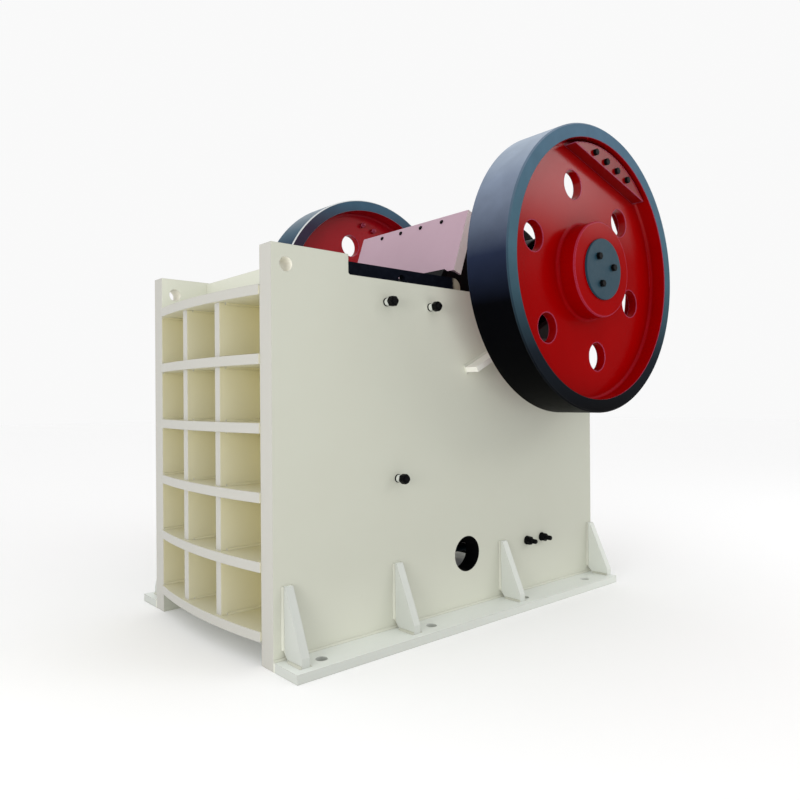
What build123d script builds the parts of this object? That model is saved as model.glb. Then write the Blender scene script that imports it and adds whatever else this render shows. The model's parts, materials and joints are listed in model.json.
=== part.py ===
from build123d import *
import math
import os

# Jaw crusher of the 750 by 1060 feed class, in millimetres and degrees.
# +Z is up, the ribbed front wall faces -Y and the shaft lies along X.
# The origin is on the ground, midway between the four outer foundation bolts.
# Distances named "from the front" are measured along +Y from the side plates' front edge.

# Crushing chamber, which sets the machine's length
FIXED_FACE = 450.0            # tooth tips of the fixed jaw, from the front
GAPE = 750.0                  # mouth between the tooth tips
SHAFT_BEHIND_MOUTH = 757.0    # shaft axis behind the swing jaw's tooth tips at the mouth
TAIL_LENGTH = 625.0           # side plates behind the shaft axis
DISCHARGE = 120.0             # open-side setting at the bottom of the swing jaw
DISCHARGE_Z = 300.0
MOUTH_RISE = 53.0             # height of the gape above the side plates' top edge

# Side plates
PLATE_TOP = 1897.0
PLATE_THICK = 106.0
INNER_WIDTH = 1150.0          # clear width between the side plates
EAR_HEIGHT = 103.0            # lifting ear above the plate's top edge
EAR_LENGTH = 449.0
EAR_FILLET = 14.0
LIFT_HOLE_FROM_FRONT = 81.0
LIFT_HOLE_DROP = 96.0         # below the ear's top
LIFT_HOLE_R = 35.0
ACCESS_FROM_REAR = 1272.0
ACCESS_Z = 354.0
ACCESS_R = 103.0

# Foundation bolts and base flanges
BOLT_FIRST = 194.0            # first bolt row from the front
BOLT_LAST = 238.5             # last bolt row ahead of the plates' rear edge
BOLT_PLACES = (0.3526, 0.6584)  # rows between them, as parts of the plate's length
BOLT_OUT = 109.0              # bolt line outside the side plate's outer face
BOLT_HOLE_R = 29.0
FLANGE_WIDTH = 202.0
FLANGE_THICK = 45.0

# Gussets between the side plates and the base flanges
GUSSET_FIRST = 53.0           # first gusset from the front; the last is flush with the rear
GUSSET_PLACES = (0.287, 0.620)  # front faces of the others, as parts of the plate's length
GUSSET_THICK = 44.0
GUSSET_REACH = 158.0
GUSSET_TOP = 388.0
GUSSET_TOE = 43.0
GUSSET_FLAT = 22.0
GUSSET_CLIP = 45.0

# Ribbed front wall
WALL_FROM_FRONT = 290.0
WALL_THICK = 60.0
WALL_RISE = 96.0              # front wall above the side plates' top edge
RIB_COUNT = 6
RIB_THICK = 50.0
RIB_BOTTOM = 112.0            # underside of the lowest rib
RIB_TOP_DROP = 82.5           # highest rib below the side plates' top edge
RIB_PROUD = 8.0               # rib edge ahead of the side plates, at the plates
RIB_BOW = 48.0                # extra reach of the rib edge at mid width
POCKET_COUNT = 3              # pockets across the machine
STIFFENER_THICK = 52.0
STIFFENER_SET_BACK = 22.0     # stiffener edge behind the rib edge

# Jaw plates
TOOTH_COUNT = 10
JAW_SIDE_GAP = 11.0           # jaw plate's edge in from the cheek plate
TOOTH_DEPTH = 40.0
TOOTH_LAND = 34.0             # flat width of a tooth tip and of a tooth root
JAW_BASE = 60.0               # solid thickness of a jaw plate behind the teeth
LEDGE_HEIGHT = 70.0
LEDGE_DEPTH = 56.0

# Cheek plates
CHEEK_THICK = 44.0
CHEEK_RISE = 93.0             # cheek plates above the side plates' top edge
CHEEK_SPLIT_Z = 1150.0
CHEEK_BOTTOM_Z = 330.0
CHEEK_BEHIND = 188.0          # reach behind the swing jaw's tooth tips
CHEEK_CORNER_R = 60.0         # upper rear corner
CHEEK_JOINT = 3.0
CHEEK_HOLE_FROM_FRONT = 905.0
CHEEK_HOLE_DROP = 55.0        # below the cheek plate's top
CHEEK_HOLE_R = 26.0

# Shaft and bearings
SHAFT_RISE = 131.0            # shaft axis above the side plates' top edge
ECCENTRICITY = 15.0
ECCENTRIC_R = 190.0
JOURNAL_R = 150.0
WHEEL_SEAT_R = 140.0
COLLAR_R = 178.0
RUNNING_GAP = 0.3
SEAT_ANGLE = 26.0
SEAT_DROP = 230.0             # shaft axis above the bearing seat, square to it
SEAT_OUT = 100.0              # seat flange outside the side plate
SEAT_THICK = 32.0
SEAT_FRONT = 851.0            # flange end ahead of the housing's centre line
HOUSING_HALF = 330.0
HOUSING_FOOT = 75.0
HOUSING_BODY_R = 262.0
HOUSING_EDGE = 6.0            # housing faces in from the seat's edges
CAP_FLANGE = 62.0
CAP_FILLET = 12.0
COVER_R = 226.0
COVER_THICK = 22.0
COVER_GAP = 5.0               # cover's bore around the shaft's collar
SHOULDER_GAP = 30.0           # housing's ends to the stop shoulders
SHOULDER_HEIGHT = 85.0        # rear stop above the seat

# Wheels
WHEEL_WIDTH = 291.0
NEAR_WHEEL_GAP = 198.0        # wheel's inner face outside the side plate
NEAR_R = 853.0
NEAR_RIM = 79.0
FAR_WHEEL_GAP = 304.0
FAR_R = 880.0
FAR_RIM = 84.0
RIM_CHAMFER = 8.0
WEB_RECESS = 102.0            # web's outer face behind the rim's outer face
WEB_THICK = 58.0
HUB_R = 284.0
HUB_PROUD = 16.0              # hub's outer face ahead of the rim's outer face
HUB_CHAMFER = 6.0
HOLE_COUNT = 6
HOLE_R = 88.0
HOLE_PLACE = 0.488            # hole centres, as a part of the way from hub to rim
HOLE_PHASE = 43.6             # first hole, from +Y towards +Z
WHEEL_FILLET = 16.0
END_CAP_R = 181.0
END_CAP_THICK = 14.0
END_CAP_FILLET = 4.0
CAP_BOLT_COUNT = 3
CAP_BOLT_CIRCLE_R = 93.0
CAP_BOLT_PHASE = 11.5         # first bolt, from +Y towards +Z
CAP_BOLT_FLATS = 38.0
CAP_BOLT_HEAD = 20.0
CAP_BOLT_CHAMFER = 2.5
BALANCE_ANGLE = 74.6          # middle of the counterweight, from +Y towards +Z
BALANCE_DEPTH = 111.0         # counterweight's chord in from the middle of its arc
BALANCE_GAP = 6.0             # between the counterweight and the rim's root fillet
BALANCE_THICK = 78.0

# Swing jaw casting
JAW_SKIN = 70.0               # front plate of the casting
JAW_WEB = 60.0
JAW_WEB_INNER_X = 140.0
JAW_HEAD_RISE = 140.0         # casting front face above the jaw plate's top, along the face
HEAD_R = 400.0
HEAD_TOP_UP = 340.0           # web's upper corner on the head, along the guard's slope
HEAD_TOP_AHEAD = 160.0        # and square to it
HEAD_UNDER_DOWN = 220.0       # web's lower corner on the head
HEAD_UNDER_BEHIND = 120.0
BEAM_RISE = 360.0             # toggle beam's top on the casting's front plate
WEDGE_GAP = 6.0
WEDGE_LEAN = 24.0

# Guard over the jaw head
GUARD_TILT = 18.9
GUARD_LENGTH = 414.0          # up the slope
GUARD_SEAT = 214.0            # part of its length that lies on the casting
GUARD_SET_BACK = 29.5         # foot behind the casting's front face
GUARD_LIFT = 7.0              # foot above the casting's front face
GUARD_SIDE_GAP = 50.0         # guard's edge in from the side plate
GUARD_THICK = 16.0
GUARD_RETURN = 66.0           # depth of the guard's side flanges

# Toggle linkage
TOGGLE_BEHIND_JAW = 415.0     # front pivot behind the swing jaw's lower tooth tips
TOGGLE_ABOVE_JAW = 170.0
TOGGLE_FROM_REAR = 720.0      # rear pivot ahead of the plates' rear edge
TOGGLE_REAR_Z = 346.0
TOGGLE_THICK = 80.0
TOGGLE_SIDE_GAP = 135.0       # toggle plate's end in from the side plate
SEAT_BLOCK = 90.0
SEAT_FACE_GAP = 14.0          # seat face short of the pivot line
TOGGLE_BLOCK_HEIGHT = 250.0
BLOCK_SIDE_GAP = 15.0         # toggle block's end in from the side plate
SHIM_PACK = 88.0
RAIL_WIDTH = 115.0
RAIL_HEIGHT = 56.0

# Rear wall
REAR_RECESS = 240.0           # rear wall's outer face ahead of the plates' rear edge
REAR_THICK = 60.0
REAR_BOTTOM = 60.0
REAR_TOP = 1250.0
REAR_RIB_COUNT = 4
REAR_RIB_THICK = 50.0

# Tension rod
ROD_R = 22.0
ROD_Z = 188.0
ROD_EYE_BEHIND_JAW = 280.0
ROD_EYE_R = 48.0
ROD_EYE_HALF = 30.0
ROD_PIN_R = 22.0
LUG_THICK = 32.0
LUG_GAP = 1.0
ROD_HOLE_R = 40.0
SPRING_R = 52.0
SPRING_COILS = 7
SPRING_WIRE_R = 9.0
CUP_R = 76.0
CUP_WALL = 8.0
CUP_DEPTH = 80.0
SPRING_CLEAR = 36.0           # spring's inner end off the rear wall
NUT_R = 42.0                  # across the nut's corners, halved
NUT_THICK = 34.0
WASHER_THICK = 16.0
ROD_END = 8.0                 # rod's tail past its nut

# Values worked out from the driving dimensions
PLATE_LENGTH = FIXED_FACE + GAPE + SHAFT_BEHIND_MOUTH + TAIL_LENGTH
FRONT = BOLT_LAST / 2 - BOLT_FIRST / 2 - PLATE_LENGTH / 2
REAR = FRONT + PLATE_LENGTH
PLATE_IN = INNER_WIDTH / 2
PLATE_OUT = PLATE_IN + PLATE_THICK
EAR_TOP = PLATE_TOP + EAR_HEIGHT
STIFFENER_X = INNER_WIDTH / POCKET_COUNT / 2
WALL_Y = FRONT + WALL_FROM_FRONT
WALL_BACK = WALL_Y + WALL_THICK
WALL_TOP = PLATE_TOP + WALL_RISE
RIB_PITCH = (PLATE_TOP - RIB_TOP_DROP - RIB_THICK - RIB_BOTTOM) / (RIB_COUNT - 1)
CHEEK_IN = PLATE_IN - CHEEK_THICK
CHEEK_TOP = PLATE_TOP + CHEEK_RISE
TOOTH_PITCH = 2 * (CHEEK_IN - JAW_SIDE_GAP) / TOOTH_COUNT
GUARD_HALF = PLATE_IN - GUARD_SIDE_GAP
TOGGLE_HALF = PLATE_IN - TOGGLE_SIDE_GAP
TOGGLE_BLOCK_HALF = PLATE_IN - BLOCK_SIDE_GAP
NEAR_INNER_X = PLATE_OUT + NEAR_WHEEL_GAP
FAR_INNER_X = PLATE_OUT + FAR_WHEEL_GAP
REAR_WALL_OUT = REAR - REAR_RECESS
REAR_WALL_IN = REAR_WALL_OUT - REAR_THICK

JAW_LOW = Vector(0, FRONT + FIXED_FACE + DISCHARGE, DISCHARGE_Z)
JAW_HIGH = Vector(0, FRONT + FIXED_FACE + GAPE, PLATE_TOP + MOUTH_RISE)
JAW_UP = (JAW_HIGH - JAW_LOW).normalized()
JAW_BACK = Vector(0, JAW_UP.Z, -JAW_UP.Y)
JAW_SPAN = (JAW_HIGH - JAW_LOW).length
JAW_PLATE_THICK = JAW_BASE + TOOTH_DEPTH
JAW_HALF = GUARD_HALF - GUARD_THICK

SHAFT_Y = REAR - TAIL_LENGTH
SHAFT_Z = PLATE_TOP + SHAFT_RISE
SHAFT = Vector(0, SHAFT_Y, SHAFT_Z)
SEAT_DIR = Vector(0, math.cos(math.radians(SEAT_ANGLE)), math.sin(math.radians(SEAT_ANGLE)))
SEAT_UP = Vector(0, -SEAT_DIR.Z, SEAT_DIR.Y)
SEAT_FOOT = SHAFT - SEAT_UP * SEAT_DROP

nodes = {}


def slab(x0, x1, y0, y1, z0, z1):
    """A box between three pairs of planes."""
    centre = Pos((x0 + x1) / 2, (y0 + y1) / 2, (z0 + z1) / 2)
    return centre * Box(x1 - x0, y1 - y0, z1 - z0)


def side_shape(points, x0, x1):
    """An outline in the Y-Z plane, drawn out from x0 to x1."""
    plane = Plane(origin=(x0, 0, 0), x_dir=(0, 1, 0), z_dir=(1, 0, 0))
    outline = make_face(Polyline(*points, close=True))
    return extrude(plane * outline, amount=x1 - x0)


def rod_x(radius, x0, x1, y, z):
    """A round bar along X."""
    plane = Plane(origin=(x0, y, z), x_dir=(0, 1, 0), z_dir=(1, 0, 0))
    return extrude(plane * Circle(radius), amount=x1 - x0)


def rod_y(radius, y0, y1, x, z):
    """A round bar along Y."""
    plane = Plane(origin=(x, y0, z), x_dir=(1, 0, 0), z_dir=(0, 1, 0))
    return extrude(plane * Circle(radius), amount=y1 - y0)


def rod_z(radius, z0, z1, x, y):
    """A round bar along Z."""
    return extrude(Pos(x, y, z0) * Circle(radius), amount=z1 - z0)


def yz(point):
    """The Y and Z of a point, for an outline."""
    return (point.Y, point.Z)


def on_seat(along, up):
    """A point in the bearing seat's own directions, from the foot of the shaft's normal."""
    return yz(SEAT_FOOT + SEAT_DIR * along + SEAT_UP * up)


def on_jaw(up, back):
    """A point in the swing jaw's own directions, from the lower tooth tips."""
    return yz(JAW_LOW + JAW_UP * up + JAW_BACK * back)


def both_sides(name, shape):
    """Keep a right-hand piece and its mirror image as two nodes."""
    nodes["right_" + name] = shape
    nodes["left_" + name] = mirror(shape, about=Plane.YZ)


# Side plates
def side_plate():
    notch = HOUSING_HALF + SHOULDER_GAP
    seat_front = on_seat(-notch, 0)
    seat_rear = on_seat(notch, 0)
    shoulder = on_seat(notch, SHOULDER_HEIGHT)
    notch_front = on_seat(-notch, (PLATE_TOP - seat_front[1]) / SEAT_UP.Z)
    outline = [
        (FRONT, 0),
        (REAR, 0),
        (REAR, shoulder[1]),
        shoulder,
        seat_rear,
        seat_front,
        notch_front,
        (FRONT + EAR_LENGTH, PLATE_TOP),
        (FRONT + EAR_LENGTH, EAR_TOP),
        (FRONT, EAR_TOP),
    ]
    plate = side_shape(outline, PLATE_IN, PLATE_OUT)
    inner_corner = plate.edges().filter_by(Axis.X).sort_by_distance(
        (PLATE_IN + PLATE_THICK / 2, FRONT + EAR_LENGTH, PLATE_TOP))[0]
    plate = fillet(inner_corner, EAR_FILLET)
    plate -= rod_x(LIFT_HOLE_R, PLATE_IN, PLATE_OUT, FRONT + LIFT_HOLE_FROM_FRONT, EAR_TOP - LIFT_HOLE_DROP)
    plate -= rod_x(ACCESS_R, PLATE_IN, PLATE_OUT, REAR - ACCESS_FROM_REAR, ACCESS_Z)
    return plate


both_sides("side_plate", side_plate())


# Base flanges and gussets
def base_flange():
    flange = slab(PLATE_OUT, PLATE_OUT + FLANGE_WIDTH, FRONT, REAR, 0, FLANGE_THICK)
    rows = [FRONT + BOLT_FIRST, REAR - BOLT_LAST]
    rows += [FRONT + place * PLATE_LENGTH for place in BOLT_PLACES]
    for y in rows:
        flange -= rod_z(BOLT_HOLE_R, 0, FLANGE_THICK, PLATE_OUT + BOLT_OUT, y)
    return flange


def gusset(y0):
    outline = [
        (PLATE_OUT + GUSSET_CLIP, FLANGE_THICK),
        (PLATE_OUT + GUSSET_REACH, FLANGE_THICK),
        (PLATE_OUT + GUSSET_REACH, FLANGE_THICK + GUSSET_TOE),
        (PLATE_OUT + GUSSET_FLAT, GUSSET_TOP),
        (PLATE_OUT, GUSSET_TOP),
        (PLATE_OUT, FLANGE_THICK + GUSSET_CLIP),
    ]
    plane = Plane(origin=(0, y0 + GUSSET_THICK, 0), x_dir=(1, 0, 0), z_dir=(0, -1, 0))
    return extrude(plane * make_face(Polyline(*outline, close=True)), amount=GUSSET_THICK)


both_sides("base_flange", base_flange())
gusset_starts = [FRONT + GUSSET_FIRST, REAR - GUSSET_THICK]
gusset_starts += [FRONT + place * PLATE_LENGTH for place in GUSSET_PLACES]
both_sides("gussets", Compound(children=[gusset(y0) for y0 in gusset_starts]))


# Ribbed front wall
def rib_edge_y(x):
    """Front edge of a rib at a place across the machine, on a circular bow."""
    radius = (PLATE_IN ** 2 + RIB_BOW ** 2) / (2 * RIB_BOW)
    return FRONT - RIB_PROUD - RIB_BOW + radius - math.sqrt(radius ** 2 - x ** 2)


def front_rib(z0):
    corner = rib_edge_y(PLATE_IN)
    bow = ThreePointArc((-PLATE_IN, corner), (0, rib_edge_y(0)), (PLATE_IN, corner))
    rest = Polyline((PLATE_IN, corner), (PLATE_IN, WALL_Y), (-PLATE_IN, WALL_Y), (-PLATE_IN, corner))
    return extrude(Pos(0, 0, z0) * make_face(Curve() + [bow, rest]), amount=RIB_THICK)


def front_stiffener(x, z0):
    y0 = rib_edge_y(abs(x) + STIFFENER_THICK / 2) + STIFFENER_SET_BACK
    half = STIFFENER_THICK / 2
    return slab(x - half, x + half, y0, WALL_Y, z0, z0 + RIB_PITCH - RIB_THICK)


nodes["front_wall"] = slab(-PLATE_IN, PLATE_IN, WALL_Y, WALL_BACK, RIB_BOTTOM, WALL_TOP)
nodes["front_ribs"] = Compound(children=[front_rib(RIB_BOTTOM + row * RIB_PITCH) for row in range(RIB_COUNT)])
nodes["front_stiffeners"] = Compound(children=[
    front_stiffener(x, RIB_BOTTOM + row * RIB_PITCH + RIB_THICK)
    for x in (-STIFFENER_X, STIFFENER_X)
    for row in range(RIB_COUNT - 1)
])


# Toothed jaw plates
def tooth_outline():
    """Section of a jaw plate: across the machine, and back from the tooth tips."""
    flank = TOOTH_PITCH / 2 - TOOTH_LAND
    start = -TOOTH_PITCH * TOOTH_COUNT / 2
    points = [(start, TOOTH_DEPTH)]
    for tooth in range(TOOTH_COUNT):
        left = start + tooth * TOOTH_PITCH + TOOTH_LAND / 2
        points.append((left, TOOTH_DEPTH))
        points.append((left + flank, 0))
        points.append((left + flank + TOOTH_LAND, 0))
        points.append((left + 2 * flank + TOOTH_LAND, TOOTH_DEPTH))
    points.append((-start, TOOTH_DEPTH))
    points.append((-start, JAW_PLATE_THICK))
    points.append((start, JAW_PLATE_THICK))
    return make_face(Polyline(*points, close=True))


def fixed_jaw_plate():
    low = RIB_BOTTOM + LEDGE_HEIGHT
    plane = Plane(origin=(0, FRONT + FIXED_FACE, WALL_TOP), x_dir=(1, 0, 0), z_dir=(0, 0, -1))
    return extrude(plane * tooth_outline(), amount=WALL_TOP - low)


def swing_jaw_plate():
    plane = Plane(origin=JAW_LOW, x_dir=(1, 0, 0), z_dir=JAW_UP)
    return extrude(plane * tooth_outline(), amount=JAW_SPAN)


nodes["fixed_jaw_plate"] = fixed_jaw_plate()
nodes["fixed_jaw_ledge"] = slab(-PLATE_IN, PLATE_IN, WALL_BACK, WALL_BACK + LEDGE_DEPTH,
                                RIB_BOTTOM, RIB_BOTTOM + LEDGE_HEIGHT)
nodes["swing_jaw_plate"] = swing_jaw_plate()


# Cheek plates lining the crushing chamber
def cheek_rear_y(z):
    slope = JAW_UP.Y / JAW_UP.Z
    return JAW_LOW.Y + (z - JAW_LOW.Z) * slope + CHEEK_BEHIND


def cheek_plate(z0, z1):
    outline = [(WALL_BACK, z0), (cheek_rear_y(z0), z0), (cheek_rear_y(z1), z1), (WALL_BACK, z1)]
    return side_shape(outline, CHEEK_IN, PLATE_IN)


def upper_cheek_plate():
    plate = cheek_plate(CHEEK_SPLIT_Z + CHEEK_JOINT, CHEEK_TOP)
    rear_corner = plate.edges().filter_by(Axis.X).sort_by_distance(
        (PLATE_IN - CHEEK_THICK / 2, cheek_rear_y(CHEEK_TOP), CHEEK_TOP))[0]
    plate = fillet(rear_corner, CHEEK_CORNER_R)
    hole_z = CHEEK_TOP - CHEEK_HOLE_DROP
    return plate - rod_x(CHEEK_HOLE_R, CHEEK_IN, PLATE_IN, FRONT + CHEEK_HOLE_FROM_FRONT, hole_z)


both_sides("upper_cheek_plate", upper_cheek_plate())
both_sides("lower_cheek_plate", cheek_plate(CHEEK_BOTTOM_Z, CHEEK_SPLIT_Z))


# Bearing seats, housings and caps
def seat_bar(along0, along1, up0, up1, x0, x1):
    outline = [on_seat(along0, up0), on_seat(along1, up0), on_seat(along1, up1), on_seat(along0, up1)]
    return side_shape(outline, x0, x1)


def bearing_seat():
    rear = (REAR - SEAT_FOOT.Y - SEAT_THICK * SEAT_DIR.Z) / SEAT_DIR.Y
    return seat_bar(-SEAT_FRONT, rear, -SEAT_THICK, 0, PLATE_OUT, PLATE_OUT + SEAT_OUT)


HOUSING_X0 = PLATE_IN + HOUSING_EDGE
HOUSING_X1 = PLATE_OUT + SEAT_OUT - HOUSING_EDGE


def bearing_bore():
    return rod_x(JOURNAL_R + RUNNING_GAP, HOUSING_X0, HOUSING_X1, SHAFT_Y, SHAFT_Z)


def bearing_housing():
    foot = seat_bar(-HOUSING_HALF, HOUSING_HALF, 0, HOUSING_FOOT, HOUSING_X0, HOUSING_X1)
    body = seat_bar(-HOUSING_BODY_R, HOUSING_BODY_R, 0, SEAT_DROP, HOUSING_X0, HOUSING_X1)
    flange = seat_bar(-HOUSING_HALF, HOUSING_HALF, SEAT_DROP - CAP_FLANGE, SEAT_DROP,
                      HOUSING_X0, HOUSING_X1)
    return foot + body + flange - bearing_bore()


def bearing_cap():
    dome = rod_x(HOUSING_BODY_R, HOUSING_X0, HOUSING_X1, SHAFT_Y, SHAFT_Z)
    lower = seat_bar(-HOUSING_HALF, HOUSING_HALF, SEAT_DROP - HOUSING_BODY_R - CAP_FLANGE, SEAT_DROP,
                     HOUSING_X0, HOUSING_X1)
    flange = seat_bar(-HOUSING_HALF, HOUSING_HALF, SEAT_DROP, SEAT_DROP + CAP_FLANGE,
                      HOUSING_X0, HOUSING_X1)
    cap = dome - lower + flange
    ends = cap.edges().filter_by(GeomType.CIRCLE).filter_by(lambda edge: edge.radius > JOURNAL_R)
    return fillet(ends, CAP_FILLET) - bearing_bore()


def bearing_cover():
    ring = rod_x(COVER_R, HOUSING_X1, HOUSING_X1 + COVER_THICK, SHAFT_Y, SHAFT_Z)
    bore = rod_x(COLLAR_R + COVER_GAP, HOUSING_X1, HOUSING_X1 + COVER_THICK, SHAFT_Y, SHAFT_Z)
    return ring - bore


both_sides("bearing_seat", bearing_seat())
both_sides("bearing_housing", bearing_housing())
both_sides("bearing_cap", bearing_cap())
both_sides("bearing_cover", bearing_cover())


# Shaft, wheels, counterweights and end caps
NEAR_OUTER_X = NEAR_INNER_X + WHEEL_WIDTH
FAR_OUTER_X = FAR_INNER_X + WHEEL_WIDTH


def turned(points):
    """A turned piece about the shaft axis from (x, radius) points."""
    plane = Plane(origin=SHAFT, x_dir=(1, 0, 0), z_dir=(0, -1, 0))
    outline = plane * make_face(Polyline(*points, close=True))
    return revolve(outline, Axis(SHAFT, (1, 0, 0)))


def eccentric_shaft():
    near_end = NEAR_OUTER_X + HUB_PROUD
    far_end = -FAR_OUTER_X - HUB_PROUD
    steps = [
        (far_end, WHEEL_SEAT_R), (-FAR_INNER_X, WHEEL_SEAT_R), (-FAR_INNER_X, COLLAR_R),
        (-HOUSING_X1 - HOUSING_EDGE, COLLAR_R), (-HOUSING_X1 - HOUSING_EDGE, JOURNAL_R),
        (HOUSING_X1 + HOUSING_EDGE, JOURNAL_R), (HOUSING_X1 + HOUSING_EDGE, COLLAR_R),
        (NEAR_INNER_X, COLLAR_R), (NEAR_INNER_X, WHEEL_SEAT_R), (near_end, WHEEL_SEAT_R),
    ]
    shaft = turned([(far_end, 0)] + steps + [(near_end, 0)])
    lobe = math.radians(BALANCE_ANGLE + 180)
    throw_y = SHAFT_Y + ECCENTRICITY * math.cos(lobe)
    throw_z = SHAFT_Z + ECCENTRICITY * math.sin(lobe)
    return shaft + rod_x(ECCENTRIC_R, -JAW_HALF, JAW_HALF, throw_y, throw_z)


def wheel(inner_x, radius, rim):
    """A dished wheel for the +X side: rim, web with round holes, and hub."""
    outer_x = inner_x + WHEEL_WIDTH
    web_out = outer_x - WEB_RECESS
    web_in = web_out - WEB_THICK
    rim_in = radius - rim
    hub_face = outer_x + HUB_PROUD
    bore = WHEEL_SEAT_R + RUNNING_GAP
    profile = [
        (inner_x, bore), (inner_x, HUB_R), (web_in, HUB_R), (web_in, rim_in), (inner_x, rim_in),
        (inner_x, radius - RIM_CHAMFER), (inner_x + RIM_CHAMFER, radius),
        (outer_x - RIM_CHAMFER, radius), (outer_x, radius - RIM_CHAMFER), (outer_x, rim_in),
        (web_out, rim_in), (web_out, HUB_R), (hub_face - HUB_CHAMFER, HUB_R),
        (hub_face, HUB_R - HUB_CHAMFER), (hub_face, bore),
    ]
    body = turned(profile)
    roots = body.edges().filter_by(GeomType.CIRCLE).filter_by(
        lambda edge: min(abs(edge.center().X - web_in), abs(edge.center().X - web_out)) < 1)
    body = fillet(roots, WHEEL_FILLET)
    hole_circle = HUB_R + HOLE_PLACE * (rim_in - HUB_R)
    for hole in range(HOLE_COUNT):
        angle = math.radians(HOLE_PHASE + hole * 360 / HOLE_COUNT)
        body -= rod_x(HOLE_R, web_in, web_out, SHAFT_Y + hole_circle * math.cos(angle),
                      SHAFT_Z + hole_circle * math.sin(angle))
    return body


def counterweight(inner_x, radius, rim):
    """A round segment on the web's outer face, cut along a chord."""
    web_out = inner_x + WHEEL_WIDTH - WEB_RECESS
    arc_r = radius - rim - WHEEL_FILLET - BALANCE_GAP
    plane = Plane(origin=(web_out, SHAFT_Y, SHAFT_Z), x_dir=(0, 1, 0), z_dir=(1, 0, 0))
    beyond_chord = Pos(arc_r - BALANCE_DEPTH + radius / 2, 0) * Rectangle(radius, 2 * radius)
    segment = Circle(arc_r) & Rot(0, 0, BALANCE_ANGLE) * beyond_chord
    return extrude(plane * segment, amount=BALANCE_THICK)


def cap_bolt_head(face, index):
    """A hexagonal head; the heads on the caps are the machine's widest points."""
    angle = math.radians(CAP_BOLT_PHASE + index * 360 / CAP_BOLT_COUNT)
    y = SHAFT_Y + CAP_BOLT_CIRCLE_R * math.cos(angle)
    z = SHAFT_Z + CAP_BOLT_CIRCLE_R * math.sin(angle)
    plane = Plane(origin=(face, y, z), x_dir=(0, 1, 0), z_dir=(1, 0, 0))
    hexagon = RegularPolygon(CAP_BOLT_FLATS / 2, 6, major_radius=False)
    head = extrude(plane * hexagon, amount=CAP_BOLT_HEAD)
    return chamfer(head.faces().sort_by(Axis.X)[-1].edges(), CAP_BOLT_CHAMFER)


def end_cap(outer_x):
    hub_face = outer_x + HUB_PROUD
    cap_face = hub_face + END_CAP_THICK
    cap = rod_x(END_CAP_R, hub_face, cap_face, SHAFT_Y, SHAFT_Z)
    rim = cap.edges().filter_by(GeomType.CIRCLE).sort_by(Axis.X)[-1]
    cap = fillet(rim, END_CAP_FILLET)
    for index in range(CAP_BOLT_COUNT):
        cap += cap_bolt_head(cap_face, index)
    return cap


nodes["eccentric_shaft"] = eccentric_shaft()
nodes["near_flywheel"] = wheel(NEAR_INNER_X, NEAR_R, NEAR_RIM)
nodes["near_counterweight"] = counterweight(NEAR_INNER_X, NEAR_R, NEAR_RIM)
nodes["near_end_cap"] = end_cap(NEAR_OUTER_X)
nodes["far_wheel"] = mirror(wheel(FAR_INNER_X, FAR_R, FAR_RIM), about=Plane.YZ)
nodes["far_counterweight"] = mirror(counterweight(FAR_INNER_X, FAR_R, FAR_RIM), about=Plane.YZ)
nodes["far_end_cap"] = mirror(end_cap(FAR_OUTER_X), about=Plane.YZ)


# Swing jaw casting
GUARD_DIR = Vector(0, math.sin(math.radians(GUARD_TILT)), math.cos(math.radians(GUARD_TILT)))
GUARD_BACK = Vector(0, GUARD_DIR.Z, -GUARD_DIR.Y)
FACE_TOP = JAW_LOW + JAW_UP * (JAW_SPAN + JAW_HEAD_RISE) + JAW_BACK * JAW_PLATE_THICK
GUARD_FOOT = FACE_TOP + Vector(0, GUARD_SET_BACK, GUARD_LIFT)
FRONT_PIVOT = JAW_LOW + Vector(0, TOGGLE_BEHIND_JAW, TOGGLE_ABOVE_JAW)
REAR_PIVOT = Vector(0, REAR - TOGGLE_FROM_REAR, TOGGLE_REAR_Z)
TOGGLE_DIR = (REAR_PIVOT - FRONT_PIVOT).normalized()
TOGGLE_UP = Vector(0, -TOGGLE_DIR.Z, TOGGLE_DIR.Y)
TOGGLE_LENGTH = (REAR_PIVOT - FRONT_PIVOT).length
ROD_EYE_Y = JAW_LOW.Y + ROD_EYE_BEHIND_JAW


def on_guard(up, back):
    """A point up the guard's slope from its foot, moved square off its front face."""
    return yz(GUARD_FOOT + GUARD_DIR * up + GUARD_BACK * back)


def on_toggle(along, up):
    """A point in the toggle plate's own directions, from its front pivot."""
    return yz(FRONT_PIVOT + TOGGLE_DIR * along + TOGGLE_UP * up)


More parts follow.
